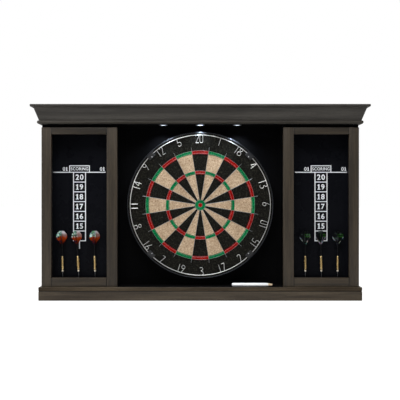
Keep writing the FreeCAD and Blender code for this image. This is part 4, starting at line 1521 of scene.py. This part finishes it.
@dataclass
class Dart:
    """One steel-tip dart standing in its ledge, made upright and then leaned into place."""

    number: int
    lean: float
    turn: float
    film: FilmKind
    centre: float = 378.8 * MM
    pitch: float = 50.5 * MM
    point_long: float = 31.0 * MM
    barrel_long: float = 49.0 * MM
    barrel_radius: float = 3.7 * MM
    stem_radius: float = 2.2 * MM
    flight_start: float = 117.5 * MM
    flight_tall: float = 41.0 * MM
    flight_half: float = 16.8 * MM
    corner: float = 2.8 * MM
    prong_out: float = 1.15 * MM
    prong_up: float = 6.5 * MM
    prong_long: float = 14.0 * MM
    film_thick: float = 0.3 * MM

    def __post_init__(self) -> None:
        """Find the matrix that stands the dart in its hole."""
        low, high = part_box(f"dart_{self.number}_barrel")
        index = self.number - 1
        x = (-self.centre, self.centre)[index // 3] + self.pitch * (index % 3 - 1)
        self.place = (Matrix.Translation((x, (low[1] + high[1]) / 2, low[2]))
                      @ Matrix.Rotation(math.radians(self.lean), 4, "Y")
                      @ Matrix.Rotation(math.radians(self.turn), 4, "Z"))

    @property
    def body(self) -> str:
        """Name of the dart's body."""
        return f"dart_{self.number}"

    def point_and_barrel(self) -> None:
        """Needle point, a nose painted near white as a painted highlight, and the grooved brass barrel."""
        turned(Piece(self.body + "_point", self.body, "zinc_steel"),
               Metal(self.body + "_point_steel", tone(112, 112, 114), tone(62, 62, 64), 0.28),
               [(0, 0), (0.4 * MM, 2.0 * MM), (0.95 * MM, 7.0 * MM), (0.95 * MM, self.point_long),
                (0, self.point_long)], 16, self.place)
        radius, low = self.barrel_radius, self.point_long
        high, nose = low + self.barrel_long, low + 5.0 * MM
        # The nose is painted near white: a painted highlight of the light on its cone.
        turned(Piece(self.body + "_nose", self.body, "dart_brass"),
               Enamel(self.body + "_bright_nose", tone(236, 222, 198), 0.22, 1.0),
               [(0, low), (1.5 * MM, low), (2.6 * MM, low + 0.8 * MM), (3.2 * MM, low + 3.0 * MM),
                (3.3 * MM, nose), (0, nose)], 24, self.place)
        profile = [(0, nose), (2.0 * MM, nose), (2.0 * MM, nose + 1.6 * MM), (3.5 * MM, nose + 2.2 * MM),
                   (radius, nose + 3.6 * MM), (radius, low + 12.0 * MM)]
        height, pitch, cut = low + 13.0 * MM, 1.5 * MM, 0.35 * MM
        while height < high - 9.0 * MM:
            profile += [(radius, height), (radius - cut, height + 0.3 * MM),
                        (radius - cut, height + 0.7 * MM), (radius, height + 1.0 * MM)]
            height += pitch
        profile += [(radius, high - 7.6 * MM), (2.0 * MM, high - 7.0 * MM), (2.0 * MM, high - 5.2 * MM),
                    (radius - 0.2 * MM, high - 4.8 * MM), (2.9 * MM, high - 0.6 * MM), (2.5 * MM, high),
                    (0, high)]
        turned(Piece(self.body + "_grip", self.body, "dart_brass", (self.body + "_barrel",)),
               Metal(self.body + "_brass", tone(222, 196, 140), tone(132, 106, 60), 0.27, 0.0001),
               profile, 24, self.place)

    def stem(self) -> None:
        """Black stem with a collar, split into prongs that hold the flight."""
        low = self.point_long + self.barrel_long
        start, radius = self.flight_start, self.stem_radius
        edit = bmesh.new()
        lathe(edit, [(0, low), (2.6 * MM, low), (2.6 * MM, low + 1.6 * MM), (radius * 0.8, low + 2.6 * MM),
                     (radius * 0.72, start - 8.0 * MM), (radius, start - 2.0 * MM), (radius, start),
                     (0, start)], 20, self.place)
        for quarter in range(4):
            angle = math.radians(45.0 + 90.0 * quarter)
            offset = Vector((math.cos(angle), math.sin(angle), 0.0)) * self.prong_out
            offset.z = start + self.prong_up
            bmesh.ops.create_cone(
                edit, cap_ends=True, cap_tris=False, segments=WIRE_SIDES, radius1=0.85 * MM, radius2=0.5 * MM,
                depth=self.prong_long, matrix=self.place @ Matrix.Translation(offset))
        Piece(self.body + "_stem", self.body, "clip_plastic").finish(
            edit, Plastic(self.body + "_stem_plastic", tone(6, 6, 8), 0.5, gloss=0.12))

    def flight(self) -> None:
        """Four film wings with rounded corners, crossed on the stem."""
        edit = bmesh.new()
        uv = edit.loops.layers.uv.new("flight")
        start, tall, half = self.flight_start, self.flight_tall, self.flight_half
        for quarter in range(4):
            before = set(edit.faces)
            outline = [(0.4 * MM, start), (3.0 * MM, start), (half, start + tall * 0.46),
                       (half, start + tall * 0.72), (half * 0.45, start + tall), (0.4 * MM, start + tall)]
            verts = [edit.verts.new((u, 0.0, v)) for u, v in outline]
            edit.faces.new(verts)
            bmesh.ops.bevel(edit, geom=verts[2:5], offset=self.corner, offset_type="OFFSET", segments=5,
                            profile=0.5, affect="VERTICES", material=-1)
            faces = [face for face in edit.faces if face not in before]
            verts = list({vert for face in faces for vert in face.verts})
            for face in faces:
                for loop in face.loops:
                    share = 0.5 + (0.5 if quarter in (0, 1) else -0.5) * loop.vert.co.x / half
                    loop[uv].uv = (share, (loop.vert.co.z - start) / tall)
            turn = Matrix.Rotation(math.radians(90.0 * quarter), 3, "Z")
            bmesh.ops.rotate(edit, cent=(0, 0, 0), matrix=turn, verts=verts)
        sheet = list(edit.faces)
        bmesh.ops.recalc_face_normals(edit, faces=sheet)
        bmesh.ops.solidify(edit, geom=sheet, thickness=self.film_thick)
        bmesh.ops.transform(edit, matrix=self.place, verts=edit.verts)
        slot = "flight_film_left" if self.film is FilmKind.FLAME else "flight_film_right"
        Piece(self.body + "_film", self.body, slot, (self.body + "_flight",)).finish(
            edit, FlightFilm(self.body + "_film", self.film, 0.37 * self.number), merge=1e-7)

    def build(self) -> None:
        """Make the dart."""
        self.point_and_barrel()
        self.stem()
        self.flight()


# ---- marker ------------------------------------------------------------------------------
@dataclass
class Marker:
    """Dry-erase marker lying on its side, cap to the left."""

    sides: int = 40

    def __post_init__(self) -> None:
        """Read the marker's axis, ends and joint from the frame."""
        body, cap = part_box("marker_body"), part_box("marker_cap")
        self.y = (body[0][1] + body[1][1]) / 2
        self.z = (body[0][2] + body[1][2]) / 2
        self.radius = (body[1][2] - body[0][2]) / 2
        self.left, self.join, self.right = cap[0][0], cap[1][0], body[1][0]
        self.neck = body[0][0]

    def build(self) -> None:
        """Barrel with its tail plug, cap with its clip, and the nib inside."""
        r, left, join, right = self.radius, self.left, self.join, self.right
        white, slot = Plastic("marker_white", tone(240, 240, 240), 0.25), "marker_white"
        tail = right - 13.0 * MM
        lay = Matrix.Translation((0, self.y, self.z)) @ Matrix.Rotation(math.radians(90.0), 4, "Y")
        turned(Piece("marker_barrel", "marker", slot, ("marker_body",)), white, [
            (0, self.neck), (4.3 * MM, self.neck), (4.5 * MM, self.neck + 1 * MM),
            (4.5 * MM, join + 0.2 * MM), (r - 0.2 * MM, join + 0.2 * MM), (r, join + 0.6 * MM),
            (r, tail - 7 * MM), (r - 0.7 * MM, tail), (0, tail)], self.sides, lay)
        turned(Piece("marker_tail", "marker", slot), Plastic("tail_plug", tone(214, 190, 158), 0.35), [
            (0, tail), (r - 0.9 * MM, tail), (r - 1.5 * MM, tail + 6 * MM), (3.0 * MM, right - 2 * MM),
            (2.6 * MM, right), (0, right)], self.sides, lay)
        turned(Piece("marker_cap_shell", "marker_cap", slot, ("marker_cap",)), white, [
            (0, left), (3.4 * MM, left), (4.6 * MM, left + 0.8 * MM), (r - 0.2 * MM, left + 3 * MM),
            (r, left + 5 * MM), (r, join - 0.3 * MM), (r - 0.3 * MM, join), (4.66 * MM, join),
            (4.66 * MM, left + 8 * MM), (0, left + 8 * MM)], self.sides, lay)
        edit = bmesh.new()
        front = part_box("marker_cap")[0][1]
        block(edit, (left + 4 * MM, front, self.z - 4.4 * MM),
              (join - 6 * MM, front + 1.1 * MM, self.z - 0.2 * MM), 0.5 * MM)
        block(edit, (left + 4 * MM, front + 0.6 * MM, self.z - 4.2 * MM),
              (left + 9 * MM, front + 3.4 * MM, self.z - 0.4 * MM), 0.2 * MM)
        Piece("marker_clip", "marker_cap", slot).finish(edit, Plastic("clip_grey", tone(150, 150, 152), 0.3))
        paint({"marker_nib": Plastic("felt_nib", tone(22, 24, 30), 0.95, 0.0003)})


# ---- studio ------------------------------------------------------------------------------
SOFT_LIGHTS = (
    ("key_above", (-0.25, -1.9, 2.3), 1.6, 70.0),
    ("side_left", (-2.6, -1.3, 0.6), 1.2, 33.0),
    ("side_right", (2.6, -1.3, 0.5), 1.2, 15.0),
    ("back_left", (-1.4, 2.3, 1.4), 1.4, 45.0),
    ("back_right", (1.6, 2.2, 0.9), 1.4, 35.0),
)


@dataclass
class Studio:
    """Camera, floor and soft lights."""

    distance: float = 2.5
    field: float = 1.2474
    aim: tuple[float, float] = (-0.0008, 0.0160)
    fill: float = 0.07
    glow_share: float = 0.8
    glow: float = 1.3

    def camera(self) -> None:
        """Camera straight in front of the board."""
        data = bpy.data.cameras.new("camera")
        data.sensor_width = 36.0
        data.lens = data.sensor_width * self.distance / self.field
        holder = in_scene("camera", data)
        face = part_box("sisal_face")[0][1]
        holder.location = (self.aim[0], face - self.distance, self.aim[1])
        holder.rotation_euler = (math.radians(90.0), 0.0, 0.0)
        bpy.context.scene.camera = holder

    def floor(self) -> None:
        """Pale floor under the plinth, plain white to the camera."""
        edit = bmesh.new()
        bmesh.ops.create_grid(edit, x_segments=1, y_segments=1, size=30.0,
                              matrix=Matrix.Translation((0, 0, cad_box[0][2] - 0.0005)))
        mesh = bpy.data.meshes.new("floor")
        edit.to_mesh(mesh)
        edit.free()
        material = new_material("pale_floor")
        graph = MaterialGraph(material)
        graph.fill(graph.shader, Base_Color=(0.8, 0.8, 0.8), Roughness=0.9)
        glow = graph.fill(graph.add("Emission"), Strength=self.glow)
        seen = graph.add("LightPath").outputs["Is Camera Ray"]
        share = graph.times(seen, self.glow_share)
        mixed = graph.calculate(graph.add("MixShader"), (share, graph.shader.outputs[0], glow.outputs[0]))
        graph.fill(material.node_tree.nodes["Material Output"], Surface=mixed)
        mesh.materials.append(material)
        floor = in_scene("floor", mesh)

    def surround(self) -> None:
        """White backdrop to the camera, and only a faint fill to the object."""
        world = bpy.data.worlds.new("studio")
        bpy.context.scene.world = world
        world.use_nodes = True
        graph = Graph(world.node_tree)
        seen = graph.add("LightPath").outputs["Is Camera Ray"]
        graph.fill(world.node_tree.nodes["Background"], Color=(1.0, 1.0, 1.0),
                   Strength=graph.span(seen, 0.0, 1.0, self.fill, 1.0))

    def lamp(self, name: str, place: Corner, size: float, power: float) -> None:
        """Square soft light aimed at the cabinet.

        Args:
            name: Name of the light.
            place: Where it stands.
            size: Length of its side.
            power: Watts.
        """
        data = bpy.data.lights.new(name, "AREA")
        data.size = size
        data.energy = power
        holder = in_scene(name, data)
        holder.location = place
        holder.rotation_euler = (-Vector(place)).to_track_quat("-Z", "Y").to_euler()

    def build(self) -> None:
        """Set up the whole studio."""
        bpy.context.scene.view_settings.view_transform = "Standard"
        self.camera()
        self.floor()
        self.surround()
        for name, place, size, power in SOFT_LIGHTS:
            self.lamp(name, place, size, power)


def main() -> None:
    """Build the cabinet piece by piece, then the studio."""
    logging.basicConfig(level=logging.INFO, format="%(name)s %(message)s")
    Studio().build()
    Joinery().build()
    for side in Side:
        ScoreBoard(side).build()
    Board().build()
    BayLights().build()
    for index, (lean, turn) in enumerate(DART_STANDS):
        film = FilmKind.FLAME if index < len(DART_STANDS) // 2 else FilmKind.NIGHT
        Dart(index + 1, lean, turn, film).build()
    Marker().build()


if __name__ == "__main__":
    main()
